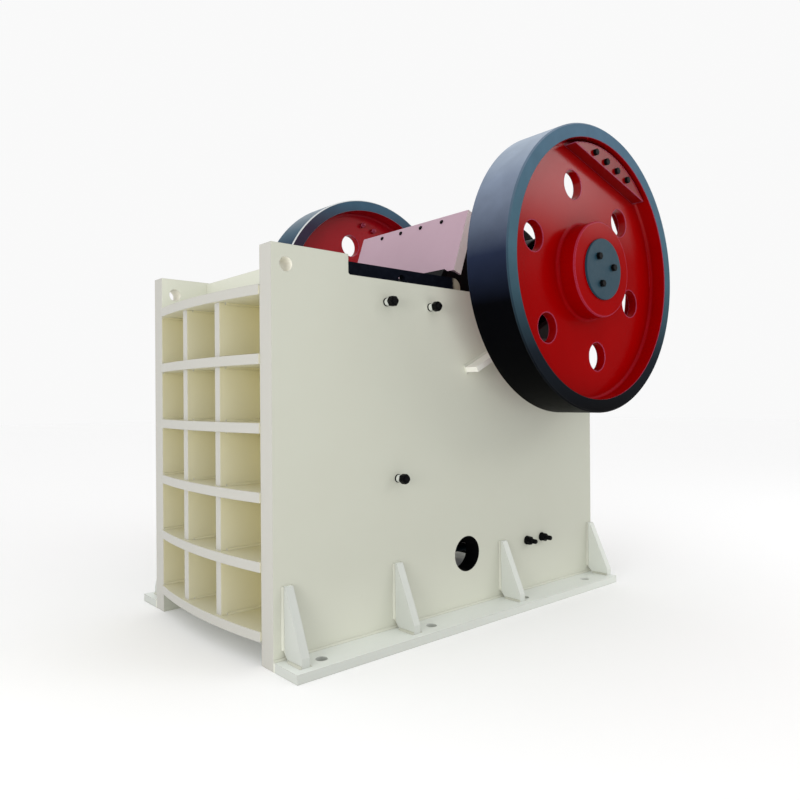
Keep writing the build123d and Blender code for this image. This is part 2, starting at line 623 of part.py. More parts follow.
def swing_jaw():
    face_low = on_jaw(0, JAW_PLATE_THICK)
    face_high = yz(FACE_TOP)
    skin_low = on_jaw(0, JAW_PLATE_THICK + JAW_SKIN)
    skin_high = on_jaw(JAW_SPAN + JAW_HEAD_RISE, JAW_PLATE_THICK + JAW_SKIN)
    beam_top = on_toggle(-SEAT_FACE_GAP - SEAT_BLOCK, SEAT_BLOCK)
    beam_end = on_toggle(-SEAT_FACE_GAP - SEAT_BLOCK, -SEAT_BLOCK)
    head_top = yz(SHAFT + GUARD_DIR * HEAD_TOP_UP - GUARD_BACK * HEAD_TOP_AHEAD)
    head_under = yz(SHAFT - GUARD_DIR * HEAD_UNDER_DOWN + GUARD_BACK * HEAD_UNDER_BEHIND)
    web = [face_low, face_high, on_guard(0, GUARD_THICK), on_guard(GUARD_SEAT, GUARD_THICK),
           head_top, head_under, beam_top, beam_end, (beam_end[0], face_low[1])]
    skin = [face_low, face_high, skin_high, skin_low]
    beam = [face_low, on_jaw(BEAM_RISE, JAW_PLATE_THICK), beam_top, beam_end, (beam_end[0], face_low[1])]
    casting = side_shape(skin, -JAW_HALF, JAW_HALF)
    casting += side_shape(beam, -JAW_HALF, JAW_HALF)
    casting += rod_x(HEAD_R, -JAW_HALF, JAW_HALF, SHAFT_Y, SHAFT_Z)
    for x0 in (-JAW_HALF, -JAW_WEB_INNER_X - JAW_WEB, JAW_WEB_INNER_X, JAW_HALF - JAW_WEB):
        casting += side_shape(web, x0, x0 + JAW_WEB)
    for side in (-1, 1):
        x0 = side * (ROD_EYE_HALF + LUG_GAP)
        x1 = x0 + side * LUG_THICK
        hanger = slab(min(x0, x1), max(x0, x1), ROD_EYE_Y - ROD_EYE_R, ROD_EYE_Y + ROD_EYE_R,
                      ROD_Z, face_low[1])
        casting += hanger + rod_x(ROD_EYE_R, min(x0, x1), max(x0, x1), ROD_EYE_Y, ROD_Z)
        casting -= rod_x(ROD_PIN_R + RUNNING_GAP, min(x0, x1), max(x0, x1), ROD_EYE_Y, ROD_Z)
    bore = ECCENTRIC_R + ECCENTRICITY + RUNNING_GAP
    return casting - rod_x(bore, -JAW_HALF, JAW_HALF, SHAFT_Y, SHAFT_Z)


def top_wedge():
    low = JAW_SPAN + WEDGE_GAP
    high = JAW_SPAN + JAW_HEAD_RISE - WEDGE_GAP
    outline = [on_jaw(low, JAW_PLATE_THICK), on_jaw(low, TOOTH_DEPTH),
               on_jaw(high, TOOTH_DEPTH + WEDGE_LEAN), on_jaw(high, JAW_PLATE_THICK)]
    return side_shape(outline, -JAW_HALF, JAW_HALF)


def guard():
    face = [on_guard(0, 0), on_guard(GUARD_LENGTH, 0),
            on_guard(GUARD_LENGTH, GUARD_THICK), on_guard(0, GUARD_THICK)]
    flange = [on_guard(0, 0), on_guard(GUARD_LENGTH, 0),
              on_guard(GUARD_LENGTH, GUARD_RETURN), on_guard(0, GUARD_RETURN)]
    plate = side_shape(face, -GUARD_HALF, GUARD_HALF)
    for x0 in (-GUARD_HALF, GUARD_HALF - GUARD_THICK):
        plate += side_shape(flange, x0, x0 + GUARD_THICK)
    return plate


nodes["swing_jaw"] = swing_jaw()
nodes["swing_jaw_wedge"] = top_wedge()
nodes["jaw_head_guard"] = guard()


# Toggle plate and its seats
def toggle_plate():
    half = TOGGLE_THICK / 2
    outline = [on_toggle(0, -half), on_toggle(TOGGLE_LENGTH, -half),
               on_toggle(TOGGLE_LENGTH, half), on_toggle(0, half)]
    plate = side_shape(outline, -TOGGLE_HALF, TOGGLE_HALF)
    for pivot in (FRONT_PIVOT, REAR_PIVOT):
        plate += rod_x(half, -TOGGLE_HALF, TOGGLE_HALF, pivot.Y, pivot.Z)
    return plate


def toggle_seat(along0, along1, pivot):
    outline = [on_toggle(along0, -SEAT_BLOCK), on_toggle(along1, -SEAT_BLOCK),
               on_toggle(along1, SEAT_BLOCK), on_toggle(along0, SEAT_BLOCK)]
    seat = side_shape(outline, -TOGGLE_HALF, TOGGLE_HALF)
    return seat - rod_x(TOGGLE_THICK / 2 + RUNNING_GAP, -TOGGLE_HALF, TOGGLE_HALF, pivot.Y, pivot.Z)


BLOCK_REAR = REAR_WALL_IN - SHIM_PACK
BLOCK_Z0 = REAR_PIVOT.Z - TOGGLE_BLOCK_HEIGHT / 2
BLOCK_Z1 = REAR_PIVOT.Z + TOGGLE_BLOCK_HEIGHT / 2


def toggle_block():
    near = TOGGLE_LENGTH + SEAT_FACE_GAP + SEAT_BLOCK
    corner_low = on_toggle(near, -SEAT_BLOCK)
    corner_high = on_toggle(near, SEAT_BLOCK)
    outline = [corner_low, (corner_low[0], BLOCK_Z0), (BLOCK_REAR, BLOCK_Z0), (BLOCK_REAR, BLOCK_Z1),
               (corner_high[0], BLOCK_Z1), corner_high]
    return side_shape(outline, -TOGGLE_BLOCK_HALF, TOGGLE_BLOCK_HALF)


def guide_rail(side):
    x0 = side * PLATE_IN
    x1 = side * (PLATE_IN - RAIL_WIDTH)
    y0 = on_toggle(TOGGLE_LENGTH + SEAT_FACE_GAP + SEAT_BLOCK, 0)[0]
    return slab(min(x0, x1), max(x0, x1), y0, REAR_WALL_IN, BLOCK_Z0 - RAIL_HEIGHT, BLOCK_Z0)


nodes["toggle_plate"] = toggle_plate()
nodes["jaw_toggle_seat"] = toggle_seat(-SEAT_FACE_GAP - SEAT_BLOCK, -SEAT_FACE_GAP, FRONT_PIVOT)
nodes["block_toggle_seat"] = toggle_seat(TOGGLE_LENGTH + SEAT_FACE_GAP,
                                         TOGGLE_LENGTH + SEAT_FACE_GAP + SEAT_BLOCK, REAR_PIVOT)
nodes["toggle_block"] = toggle_block()
nodes["shim_pack"] = slab(-TOGGLE_HALF, TOGGLE_HALF, BLOCK_REAR, REAR_WALL_IN, BLOCK_Z0, BLOCK_Z1)
nodes["guide_rails"] = Compound(children=[guide_rail(-1), guide_rail(1)])


# Rear wall
def rear_rib(index):
    pitch = (REAR_TOP - REAR_BOTTOM - REAR_RIB_THICK) / (REAR_RIB_COUNT - 1)
    z0 = REAR_BOTTOM + index * pitch
    return slab(-PLATE_IN, PLATE_IN, REAR_WALL_OUT, REAR, z0, z0 + REAR_RIB_THICK)


def rear_stiffener(x, index):
    pitch = (REAR_TOP - REAR_BOTTOM - REAR_RIB_THICK) / (REAR_RIB_COUNT - 1)
    z0 = REAR_BOTTOM + index * pitch + REAR_RIB_THICK
    half = STIFFENER_THICK / 2
    return slab(x - half, x + half, REAR_WALL_OUT, REAR - STIFFENER_SET_BACK, z0, z0 + pitch - REAR_RIB_THICK)


rear_wall = slab(-PLATE_IN, PLATE_IN, REAR_WALL_IN, REAR_WALL_OUT, REAR_BOTTOM, REAR_TOP)
nodes["rear_wall"] = rear_wall - rod_y(ROD_HOLE_R, REAR_WALL_IN, REAR_WALL_OUT, 0, ROD_Z)
nodes["rear_ribs"] = Compound(children=[rear_rib(index) for index in range(REAR_RIB_COUNT)])
nodes["rear_stiffeners"] = Compound(children=[
    rear_stiffener(x, index)
    for x in (-STIFFENER_X, STIFFENER_X)
    for index in range(REAR_RIB_COUNT - 1)
])


# Tension rod and spring
def tension_rod():
    eye = rod_x(ROD_EYE_R, -ROD_EYE_HALF, ROD_EYE_HALF, ROD_EYE_Y, ROD_Z)
    bar = rod_y(ROD_R, ROD_EYE_Y, REAR - ROD_END, 0, ROD_Z)
    hole = rod_x(ROD_PIN_R + RUNNING_GAP, -ROD_EYE_HALF, ROD_EYE_HALF, ROD_EYE_Y, ROD_Z)
    return eye + bar - hole


NUT_Y0 = REAR - 2 * ROD_END - NUT_THICK
WASHER_Y0 = NUT_Y0 - WASHER_THICK
SPRING_Y0 = REAR_WALL_OUT + SPRING_CLEAR


def spring():
    """A coil spring drawn as a stack of touching rounds on a thin sleeve."""
    pitch = (WASHER_Y0 - SPRING_Y0) / SPRING_COILS
    sleeve_r = SPRING_R - SPRING_WIRE_R
    plane = Plane(origin=(0, SPRING_Y0, ROD_Z), x_dir=(0, 1, 0), z_dir=(1, 0, 0))
    section = Rectangle(WASHER_Y0 - SPRING_Y0, SPRING_WIRE_R, align=(Align.MIN, Align.CENTER))
    section = Pos(0, sleeve_r) * section
    for coil in range(SPRING_COILS):
        section += Pos((coil + 0.5) * pitch, sleeve_r) * Circle(min(SPRING_WIRE_R, pitch / 2))
    return revolve(plane * section, Axis((0, SPRING_Y0, ROD_Z), (0, 1, 0)))


def nut():
    washer = rod_y(SPRING_R, WASHER_Y0, NUT_Y0, 0, ROD_Z)
    plane = Plane(origin=(0, NUT_Y0, ROD_Z), x_dir=(1, 0, 0), z_dir=(0, 1, 0))
    hexagon = extrude(plane * RegularPolygon(NUT_R, 6), amount=NUT_THICK)
    return washer + hexagon - rod_y(ROD_R + RUNNING_GAP, WASHER_Y0, NUT_Y0 + NUT_THICK, 0, ROD_Z)


def spring_cup():
    outer = rod_y(CUP_R, REAR_WALL_OUT, REAR_WALL_OUT + CUP_DEPTH, 0, ROD_Z)
    return outer - rod_y(CUP_R - CUP_WALL, REAR_WALL_OUT, REAR_WALL_OUT + CUP_DEPTH, 0, ROD_Z)


pin_half = ROD_EYE_HALF + LUG_GAP + LUG_THICK
nodes["tension_rod"] = tension_rod()
nodes["tension_rod_pin"] = rod_x(ROD_PIN_R, -pin_half, pin_half, ROD_EYE_Y, ROD_Z)
nodes["tension_spring"] = spring()
nodes["tension_nut"] = nut()
nodes["spring_cup"] = spring_cup()

os.makedirs("parts", exist_ok=True)
for name, shape in nodes.items():
    export_step(shape, os.path.join("parts", name + ".step"))
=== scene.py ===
import json
import math

import bpy
from mathutils import Matrix, Vector


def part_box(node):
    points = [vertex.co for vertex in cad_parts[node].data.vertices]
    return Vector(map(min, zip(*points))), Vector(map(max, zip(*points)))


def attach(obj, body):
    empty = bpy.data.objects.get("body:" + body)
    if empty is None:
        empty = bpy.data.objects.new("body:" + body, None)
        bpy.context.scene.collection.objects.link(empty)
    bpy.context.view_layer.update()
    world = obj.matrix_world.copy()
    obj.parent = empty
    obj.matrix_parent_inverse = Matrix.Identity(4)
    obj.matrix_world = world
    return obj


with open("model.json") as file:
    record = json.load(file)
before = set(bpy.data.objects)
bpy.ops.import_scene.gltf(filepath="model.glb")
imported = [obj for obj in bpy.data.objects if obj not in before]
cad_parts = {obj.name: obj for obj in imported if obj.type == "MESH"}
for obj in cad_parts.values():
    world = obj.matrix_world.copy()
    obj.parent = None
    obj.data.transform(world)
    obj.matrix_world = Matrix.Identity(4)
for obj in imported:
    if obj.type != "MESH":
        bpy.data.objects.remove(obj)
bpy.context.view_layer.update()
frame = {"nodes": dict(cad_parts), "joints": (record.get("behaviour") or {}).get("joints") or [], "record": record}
nodes = frame["nodes"]

# Directions and a unit; all lengths are in metres
X = Vector((1, 0, 0))
Y = Vector((0, 1, 0))
Z = Vector((0, 0, 1))
MM = 0.001

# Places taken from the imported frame
PLATE_LOW, PLATE_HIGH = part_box("right_side_plate")
FRONT_Y = PLATE_LOW.y
REAR_Y = PLATE_HIGH.y
LENGTH = REAR_Y - FRONT_Y
PLATE_IN = PLATE_LOW.x
PLATE_OUT = PLATE_HIGH.x
SHAFT = Vector(next(joint for joint in frame["joints"] if joint["name"] == "shaft_turn")["pos_m"])
NEAR_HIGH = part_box("near_flywheel")[1]
FAR_LOW, FAR_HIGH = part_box("far_wheel")
NEAR_R = NEAR_HIGH.z - SHAFT.z
FAR_R = FAR_HIGH.z - SHAFT.z
FLANGE_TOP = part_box("right_base_flange")[1].z
RIBS_LOW, RIBS_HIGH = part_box("front_ribs")
WALL_LOW, WALL_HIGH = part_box("front_wall")
REAR_RIBS_LOW, REAR_RIBS_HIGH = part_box("rear_ribs")
HOUSING_LOW, HOUSING_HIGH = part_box("right_bearing_housing")
COVER_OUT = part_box("right_bearing_cover")[1].x

# Sizes of the solids that their boxes don't give
NEAR_RIM_IN = 0.774
FAR_RIM_IN = 0.796
CAP_R = 0.181
RIB_THICK = 0.050
RIB_COUNT = 6
REAR_RIB_COUNT = 4
REAR_WALL_THICK = 0.060
STIFFENER_X = 0.192
STIFFENER_HALF = 0.026
SEAT_ANGLE = math.radians(26.0)
SEAT_DIR = Vector((0, math.cos(SEAT_ANGLE), math.sin(SEAT_ANGLE)))
SEAT_UP = Vector((0, -SEAT_DIR.z, SEAT_DIR.y))
SEAT_FOOT = SHAFT - SEAT_UP * 0.230
SEAT_THICK = 0.032
ACCESS_HOLE = (1.310, 0.354, 0.103)        # distance behind the front edge, height, radius
LIFTING_HOLE = (0.081, 1.904, 0.035)

# The photograph's camera: place relative to the side plate's front edge, turn and lens
CAMERA_PLACE = Vector((3.4874, FRONT_Y - 1.6750, 1.2564))
CAMERA_YAW = math.radians(48.69)
CAMERA_PITCH = math.radians(0.041)
CAMERA_ROLL = math.radians(-0.371)
CAMERA_FOCAL_PX = 693.464
IMAGE_PX = 800.0
SENSOR_MM = 36.0

# Paint and metal colours, linear
CREAM = (0.500, 0.509, 0.432)
CREAM_FRONT_SHADE = (0.460, 0.452, 0.413)        # edges that face the front, darker: painted shade
# Paler cream where shade would fall beside the wheels, low on the plates and over the ribs: painted light
CREAM_PAINTED_LIGHT = (0.700, 0.710, 0.610)
CREAM_PALE = (0.505, 0.525, 0.490)         # gussets and base flanges
CREAM_REAR_LIT = (0.680, 0.705, 0.655)         # the same at their rear end, paler: painted light
CREAM_TOP_LIT = (0.775, 0.806, 0.763)          # the same where they face up, paler: painted light
# Paler cream on the bearing seat, in the wheel's shade: painted light
CREAM_SEAT_LIT = (0.850, 0.835, 0.765)
# Paler cream on edges: painted highlight
CREAM_EDGE_HIGHLIGHT = (0.570, 0.580, 0.530)
# Dusty tone; in corners it also stands for painted shade
CREAM_DUST = (0.420, 0.398, 0.306)
# Pale wall of the lifting holes: painted light
BORE_LIT = (0.850, 0.830, 0.740)
# Pocket tones, lit at the front and yellower deep in: painted light and shade
POCKET_LIT = (0.650, 0.632, 0.495)
POCKET_SHADE = (0.660, 0.600, 0.325)
# Black for painted shade inside the machine and round the shaft
INSIDE_SHADE_BLACK = (0.012, 0.012, 0.012)
RED = (0.280, 0.0004, 0.0007)
# A brighter copy of the red for the far wheel: painted light
RED_FAR_LIT = (0.330, 0.004, 0.010)
RED_DARK = (0.180, 0.0003, 0.0005)
# Red in corners and recesses: painted shade
RED_CORNER_SHADE = (0.100, 0.0002, 0.0004)
# Paler red on edges: painted glint
RED_EDGE_GLINT = (0.520, 0.120, 0.240)
PINK = (0.490, 0.336, 0.405)
PINK_DARK = (0.415, 0.260, 0.322)
PINK_PALE = (0.520, 0.470, 0.480)
# Paler pink on the guard's side flanges: painted light
PINK_SIDE_LIT = (0.900, 0.840, 0.830)
JAW_RED = (0.280, 0.010, 0.014)
# Black for painted shade on the swing jaw
JAW_SHADE_BLACK = (0.0045, 0.0040, 0.0045)
LINER = (0.0020, 0.0034, 0.0080)
LINER_WORN = (0.020, 0.022, 0.028)
CHEEK_WORN = (0.012, 0.016, 0.028)
CAP_SLATE = (0.009, 0.040, 0.062)
SLATE_WORN = (0.03, 0.06, 0.08)
BOLT_BLACK = (0.0012, 0.0013, 0.0016)
BOLT_WORN = (0.006, 0.006, 0.007)
STEEL = (0.420, 0.415, 0.400)
IRON = (0.060, 0.056, 0.052)
# Pale line on the far rim's chamfer and rim edges: painted highlight
WHITE_EDGE_HIGHLIGHT = (0.650, 0.670, 0.680)
FLOOR_PALE = (0.94, 0.94, 0.94)
FLOOR_GREY = (0.91, 0.91, 0.91)

# Colours of the rims' faces from the bottom (0) to the top (1): painted light, paler towards the top
NEAR_FACE_SHADING = (
    (0.00, (0.0008, 0.0006, 0.0010)), (0.20, (0.006, 0.010, 0.016)), (0.50, (0.050, 0.110, 0.145)),
    (1.00, (0.080, 0.145, 0.210)),
)
FAR_FACE_SHADING = (
    (0.00, (0.0008, 0.0006, 0.0010)), (0.20, (0.006, 0.008, 0.014)), (0.50, (0.033, 0.028, 0.048)),
    (0.82, (0.046, 0.034, 0.062)), (0.88, (0.052, 0.062, 0.093)), (0.97, (0.057, 0.116, 0.172)),
)

# Colours of the rims' treads from where they face down (0) to where they face up (1): painted light
NEAR_TREAD_SHADING = (
    (0.00, (0.0002, 0.0002, 0.0003)), (0.35, (0.0005, 0.0006, 0.0015)), (0.50, (0.016, 0.023, 0.050)),
    (0.75, (0.210, 0.255, 0.340)), (1.00, (0.500, 0.580, 0.680)),
)
FAR_TREAD_SHADING = (
    (0.00, (0.0002, 0.0002, 0.0003)), (0.35, (0.0005, 0.0006, 0.0015)), (0.50, (0.010, 0.016, 0.036)),
    (0.75, (0.030, 0.060, 0.100)), (0.81, (0.074, 0.128, 0.176)), (0.855, (0.155, 0.207, 0.255)),
    (1.00, (0.400, 0.460, 0.520)),
)

# Where paint, dirt, painted light and painted shade change
INSIDE_SHADE_FROM, INSIDE_SHADE_FULL = 1.45, 0.85        # heights of the black painted shade behind the swing jaw
SHAFT_SHADE_FROM, SHAFT_SHADE_FULL = 0.50, 0.44      # radii of the black painted shade round the shaft
PAINTED_LIGHT_Y, PAINTED_LIGHT_Z = 0.30, 2.00              # middle of the painted light beside the wheels
PAINTED_LIGHT_FROM, PAINTED_LIGHT_FULL = 1.15, 0.53        # radii round that middle
PAINTED_LIGHT_LOW_FROM, PAINTED_LIGHT_LOW_FULL = 0.50, 0.08
PAINTED_LIGHT_LOW_SHARE = 0.72
PAINTED_LIGHT_RIBS_SHARE = 0.85
REAR_LIGHT_FROM = FRONT_Y + 0.05
GLOSS_FROM, GLOSS_FULL = 0.10, 0.55        # heights over the shaft
GLOSS_LOW = 0.012
NEAR_SHINE = 0.180
FAR_SHINE = 0.045
CHEEK_DUST_FROM = FRONT_Y + 1.340
CHEEK_DUST_RUN = 0.02
JAW_SHADE_RUN = 0.20                       # from red to black painted shade, behind the shaft's axis
JAW_SHADE_FROM, JAW_SHADE_FULL = SHAFT.z - 0.40, SHAFT.z - 0.60


# Material helpers
NOISE_ROUGH = 0.55
BEVEL_SAMPLES = 4
CORNER_SAMPLES = 6
EDGE_FROM, EDGE_FULL = 0.995, 0.80         # how far the rounded normal agrees with the flat one
GRAIN = 0.001                              # depth of the surface's bumps
MIX_FACTOR, MIX_FIRST, MIX_SECOND, MIX_RESULT = 0, 6, 7, 2


class Paint:
    """A node material with a principled shader and a short way to add nodes."""

    def __init__(self, name, roughness, metallic=0.0, specular=0.5):
        self.material = bpy.data.materials.new(name)
        self.material.use_nodes = True
        self.tree = self.material.node_tree
        self.shader = self.tree.nodes["Principled BSDF"]
        self.shader.inputs["Roughness"].default_value = roughness
        self.shader.inputs["Metallic"].default_value = metallic
        self.shader.inputs["Specular IOR Level"].default_value = specular

    def add(self, kind, **values):
        node = self.tree.nodes.new(kind)
        for key, value in values.items():
            if key in node.inputs:
                node.inputs[key].default_value = value
            else:
                setattr(node, key, value)
        return node

    def link(self, source, target):
        self.tree.links.new(source, target)

    def parts(self, kind):
        """The X, Y and Z of the point ("Object", in metres) or of the way the surface faces ("Normal")."""
        node = self.add("ShaderNodeSeparateXYZ")
        self.link(self.add("ShaderNodeTexCoord").outputs[kind], node.inputs["Vector"])
        return node.outputs["X"], node.outputs["Y"], node.outputs["Z"]

    def noise(self, scale, detail=4.0):
        node = self.add("ShaderNodeTexNoise", Scale=scale, Detail=detail, Roughness=NOISE_ROUGH)
        self.link(self.add("ShaderNodeTexCoord").outputs["Object"], node.inputs["Vector"])
        return node.outputs["Fac"]

    def ramp(self, factor, none, full):
        """0 at none, 1 at full."""
        node = self.add("ShaderNodeMapRange", clamp=True, **{"From Min": none, "From Max": full})
        self.link(factor, node.inputs["Value"])
        return node.outputs["Result"]

    def math(self, operation, first, second=0.0):
        node = self.add("ShaderNodeMath", operation=operation)
        for index, value in enumerate((first, second)):
            if isinstance(value, (int, float)):
                node.inputs[index].default_value = value
            else:
                self.link(value, node.inputs[index])
        return node.outputs["Value"]

    def product(self, first, *others):
        for other in others:
            first = self.math("MULTIPLY", first, other)
        return first

    def reach(self, y, z, centre_y, centre_z):
        """The distance from a line along X."""
        back = self.math("SUBTRACT", y, centre_y)
        up = self.math("SUBTRACT", z, centre_z)
        return self.math("SQRT", self.math("ADD", self.product(back, back), self.product(up, up)))

    def gradient(self, factor, stops):
        """A colour that runs through stops of (place, colour)."""
        node = self.add("ShaderNodeValToRGB")
        points = node.color_ramp.elements
        while len(points) < len(stops):
            points.new(0.5)
        for point, (place, colour) in zip(points, stops):
            point.position = place
            point.color = colour + (1.0,)
        self.link(factor, node.inputs["Fac"])
        return node.outputs["Color"]

    def mix(self, factor, first, second):
        node = self.add("ShaderNodeMix", data_type="RGBA")
        for socket, value in ((node.inputs[MIX_FIRST], first), (node.inputs[MIX_SECOND], second)):
            if isinstance(value, tuple):
                socket.default_value = value + (1.0,)
            else:
                self.link(value, socket)
        self.link(factor, node.inputs[MIX_FACTOR])
        return node.outputs[MIX_RESULT]

    def rounded(self, radius):
        """The normal with its edges rounded."""
        return self.add("ShaderNodeBevel", samples=BEVEL_SAMPLES, Radius=radius).outputs["Normal"]

    def edges(self, rounded):
        """1 on sharp edges, 0 on flat faces."""
        dot = self.add("ShaderNodeVectorMath", operation="DOT_PRODUCT")
        self.link(rounded, dot.inputs[0])
        self.link(self.add("ShaderNodeNewGeometry").outputs["Normal"], dot.inputs[1])
        return self.ramp(dot.outputs["Value"], EDGE_FROM, EDGE_FULL)

    def corners(self, distance):
        """1 in the open, falling towards 0 in corners and recesses."""
        return self.add("ShaderNodeAmbientOcclusion", samples=CORNER_SAMPLES, Distance=distance).outputs["AO"]

    def bump(self, height, rounded, strength, depth=GRAIN):
        node = self.add("ShaderNodeBump", Strength=strength, Distance=depth)
        self.link(height, node.inputs["Height"])
        self.link(rounded, node.inputs["Normal"])
        self.link(node.outputs["Normal"], self.shader.inputs["Normal"])

    def colour(self, socket):
        self.link(socket, self.shader.inputs["Base Color"])

    def rough(self, factor, low, high):
        node = self.add("ShaderNodeMapRange", clamp=True, **{"To Min": low, "To Max": high})
        self.link(factor, node.inputs["Value"])
        self.link(node.outputs["Result"], self.shader.inputs["Roughness"])


# Zones of the frame's paint
def between_plates(paint, x):
    return paint.ramp(paint.math("ABSOLUTE", x), PLATE_IN + 1.5 * MM, PLATE_IN + 0.5 * MM)


def outside_plates(paint, x):
    return paint.ramp(paint.math("ABSOLUTE", x), PLATE_OUT - 2 * MM, PLATE_OUT - MM)


def inside_painted_shade(paint):
    """1 low on the faces that close off the space behind the swing jaw: black painted shade."""
    x, y, z = paint.parts("Object")
    rear_face = REAR_RIBS_LOW.y - REAR_WALL_THICK
    behind = paint.ramp(y, WALL_HIGH.y - 2 * MM, WALL_HIGH.y - MM)
    ahead = paint.ramp(y, rear_face + 2 * MM, rear_face + MM)
    ragged = paint.math("ADD", z, paint.product(paint.noise(scale=5.0), 0.30))
    return paint.product(between_plates(paint, x), behind, ahead, paint.ramp(ragged, INSIDE_SHADE_FROM, INSIDE_SHADE_FULL))


def pockets(paint):
    """1 in the pockets between the front ribs, 0 on the ribs' front edges, and the painted light and shade there:
    paler at the front, yellower deeper in and towards each pocket's top.
    """
    x, y, z = paint.parts("Object")
    along = paint.parts("Normal")[1]
    outside = paint.ramp(y, WALL_LOW.y + 2 * MM, WALL_LOW.y + MM)
    clear = paint.ramp(y, WALL_LOW.y - 20 * MM, WALL_LOW.y - 30 * MM)
    rib_edge = paint.product(paint.ramp(along, none=-0.60, full=-0.80), clear)
    above = paint.ramp(z, RIBS_LOW.z + 5 * MM, RIBS_LOW.z + 10 * MM)
    below = paint.ramp(z, RIBS_HIGH.z - 5 * MM, RIBS_HIGH.z - 10 * MM)
    off_edge = paint.math("SUBTRACT", 1.0, rib_edge)
    zone = paint.product(between_plates(paint, x), outside, above, below, off_edge)
    depth = paint.ramp(y, RIBS_LOW.y, WALL_LOW.y)
    pitch = (RIBS_HIGH.z - RIBS_LOW.z - RIB_THICK) / (RIB_COUNT - 1)
    height = paint.math("FRACT", paint.math("DIVIDE", paint.math("SUBTRACT", z, RIBS_LOW.z), pitch))
    pocket_shade = paint.math("ADD", paint.product(depth, 0.60), paint.product(height, 0.40))
    return zone, paint.mix(pocket_shade, POCKET_LIT, POCKET_SHADE)


def shaft_shade(paint):
    """1 on the side plates' outer faces round the shaft: black painted shade."""
    x, y, z = paint.parts("Object")
    unevenness = paint.product(paint.noise(scale=7.0), 0.10)
    ragged = paint.math("ADD", paint.reach(y, z, SHAFT.y, SHAFT.z), unevenness)
    return paint.product(outside_plates(paint, x), paint.ramp(ragged, SHAFT_SHADE_FROM, SHAFT_SHADE_FULL))


def painted_light_zone(paint):
    """1 where painted light pales the cream: beside the wheels, low on the side plates and over the ribs."""
    x, y, z = paint.parts("Object")
    on_plate = paint.ramp(paint.math("ABSOLUTE", x), PLATE_OUT + 14 * MM, PLATE_OUT + 12 * MM)
    beside = paint.ramp(paint.reach(y, z, PAINTED_LIGHT_Y, PAINTED_LIGHT_Z), PAINTED_LIGHT_FROM, PAINTED_LIGHT_FULL)
    low = paint.ramp(z, PAINTED_LIGHT_LOW_FROM, PAINTED_LIGHT_LOW_FULL)
    share = paint.math("MAXIMUM", paint.product(beside, beside), paint.product(low, low, PAINTED_LIGHT_LOW_SHARE))
    ahead = paint.ramp(y, WALL_HIGH.y - MM, WALL_HIGH.y - 3 * MM)
    above = paint.ramp(z, RIBS_HIGH.z - MM, RIBS_HIGH.z + MM)
    over_ribs = paint.product(above, between_plates(paint, x), ahead)
    return paint.math("MAXIMUM", paint.product(outside_plates(paint, x), on_plate, share),
                      paint.product(over_ribs, PAINTED_LIGHT_RIBS_SHARE))


# Paints and metals
def frame_paint(name, shade, top, front=None, rear=None):
    """Cream satin paint on welded plate, with painted light and shade: yellower in the front pockets, paler beside
    the wheels, towards the rear, on tops and on edges, darker on front faces and in corners, and black painted
    shade inside the machine and round the shaft.
    """
    paint = Paint(name, 0.45, specular=0.30)
    rounded = paint.rounded(4 * MM)
    y = paint.parts("Object")[1]
    along, upward = paint.parts("Normal")[1:]
    pocket, pocket_light_and_shade = pockets(paint)
    dust_and_corner_shade = paint.ramp(paint.corners(0.05), none=0.60, full=0.20)
    mottle = paint.ramp(paint.noise(scale=3.0, detail=3.0), none=0.35, full=0.70)
    # Paler towards the rear (rear) and on faces that face up (top): painted light
    base = paint.mix(paint.ramp(y, REAR_LIGHT_FROM, REAR_Y), shade, rear or shade)
    base = paint.mix(paint.product(mottle, 0.06), base, CREAM_DUST)
    base = paint.mix(paint.ramp(upward, none=0.80, full=0.95), base, top)
    # Darker on faces that face the front: painted shade
    if front:
        base = paint.mix(paint.ramp(along, none=-0.80, full=-0.90), base, front)
    # Paler beside the wheels, low on the plates and over the ribs: painted light
    base = paint.mix(painted_light_zone(paint), base, CREAM_PAINTED_LIGHT)
    # Pockets: painted light and shade
    base = paint.mix(pocket, base, pocket_light_and_shade)
    # Darker in corners and recesses: dirt and painted shade
    base = paint.mix(paint.product(dust_and_corner_shade, 0.15), base, CREAM_DUST)
    # Paler edges: painted highlight
    base = paint.mix(paint.product(paint.edges(rounded), 0.45), base, CREAM_EDGE_HIGHLIGHT)
    # Black painted shade inside the machine and round the shaft
    base = paint.mix(paint.math("MAXIMUM", inside_painted_shade(paint), shaft_shade(paint)), base, INSIDE_SHADE_BLACK)
    paint.colour(base)
    paint.rough(paint.noise(scale=18.0), low=0.38, high=0.54)
    paint.bump(paint.noise(scale=320.0, detail=2.0), rounded, strength=0.10)
    return paint.material


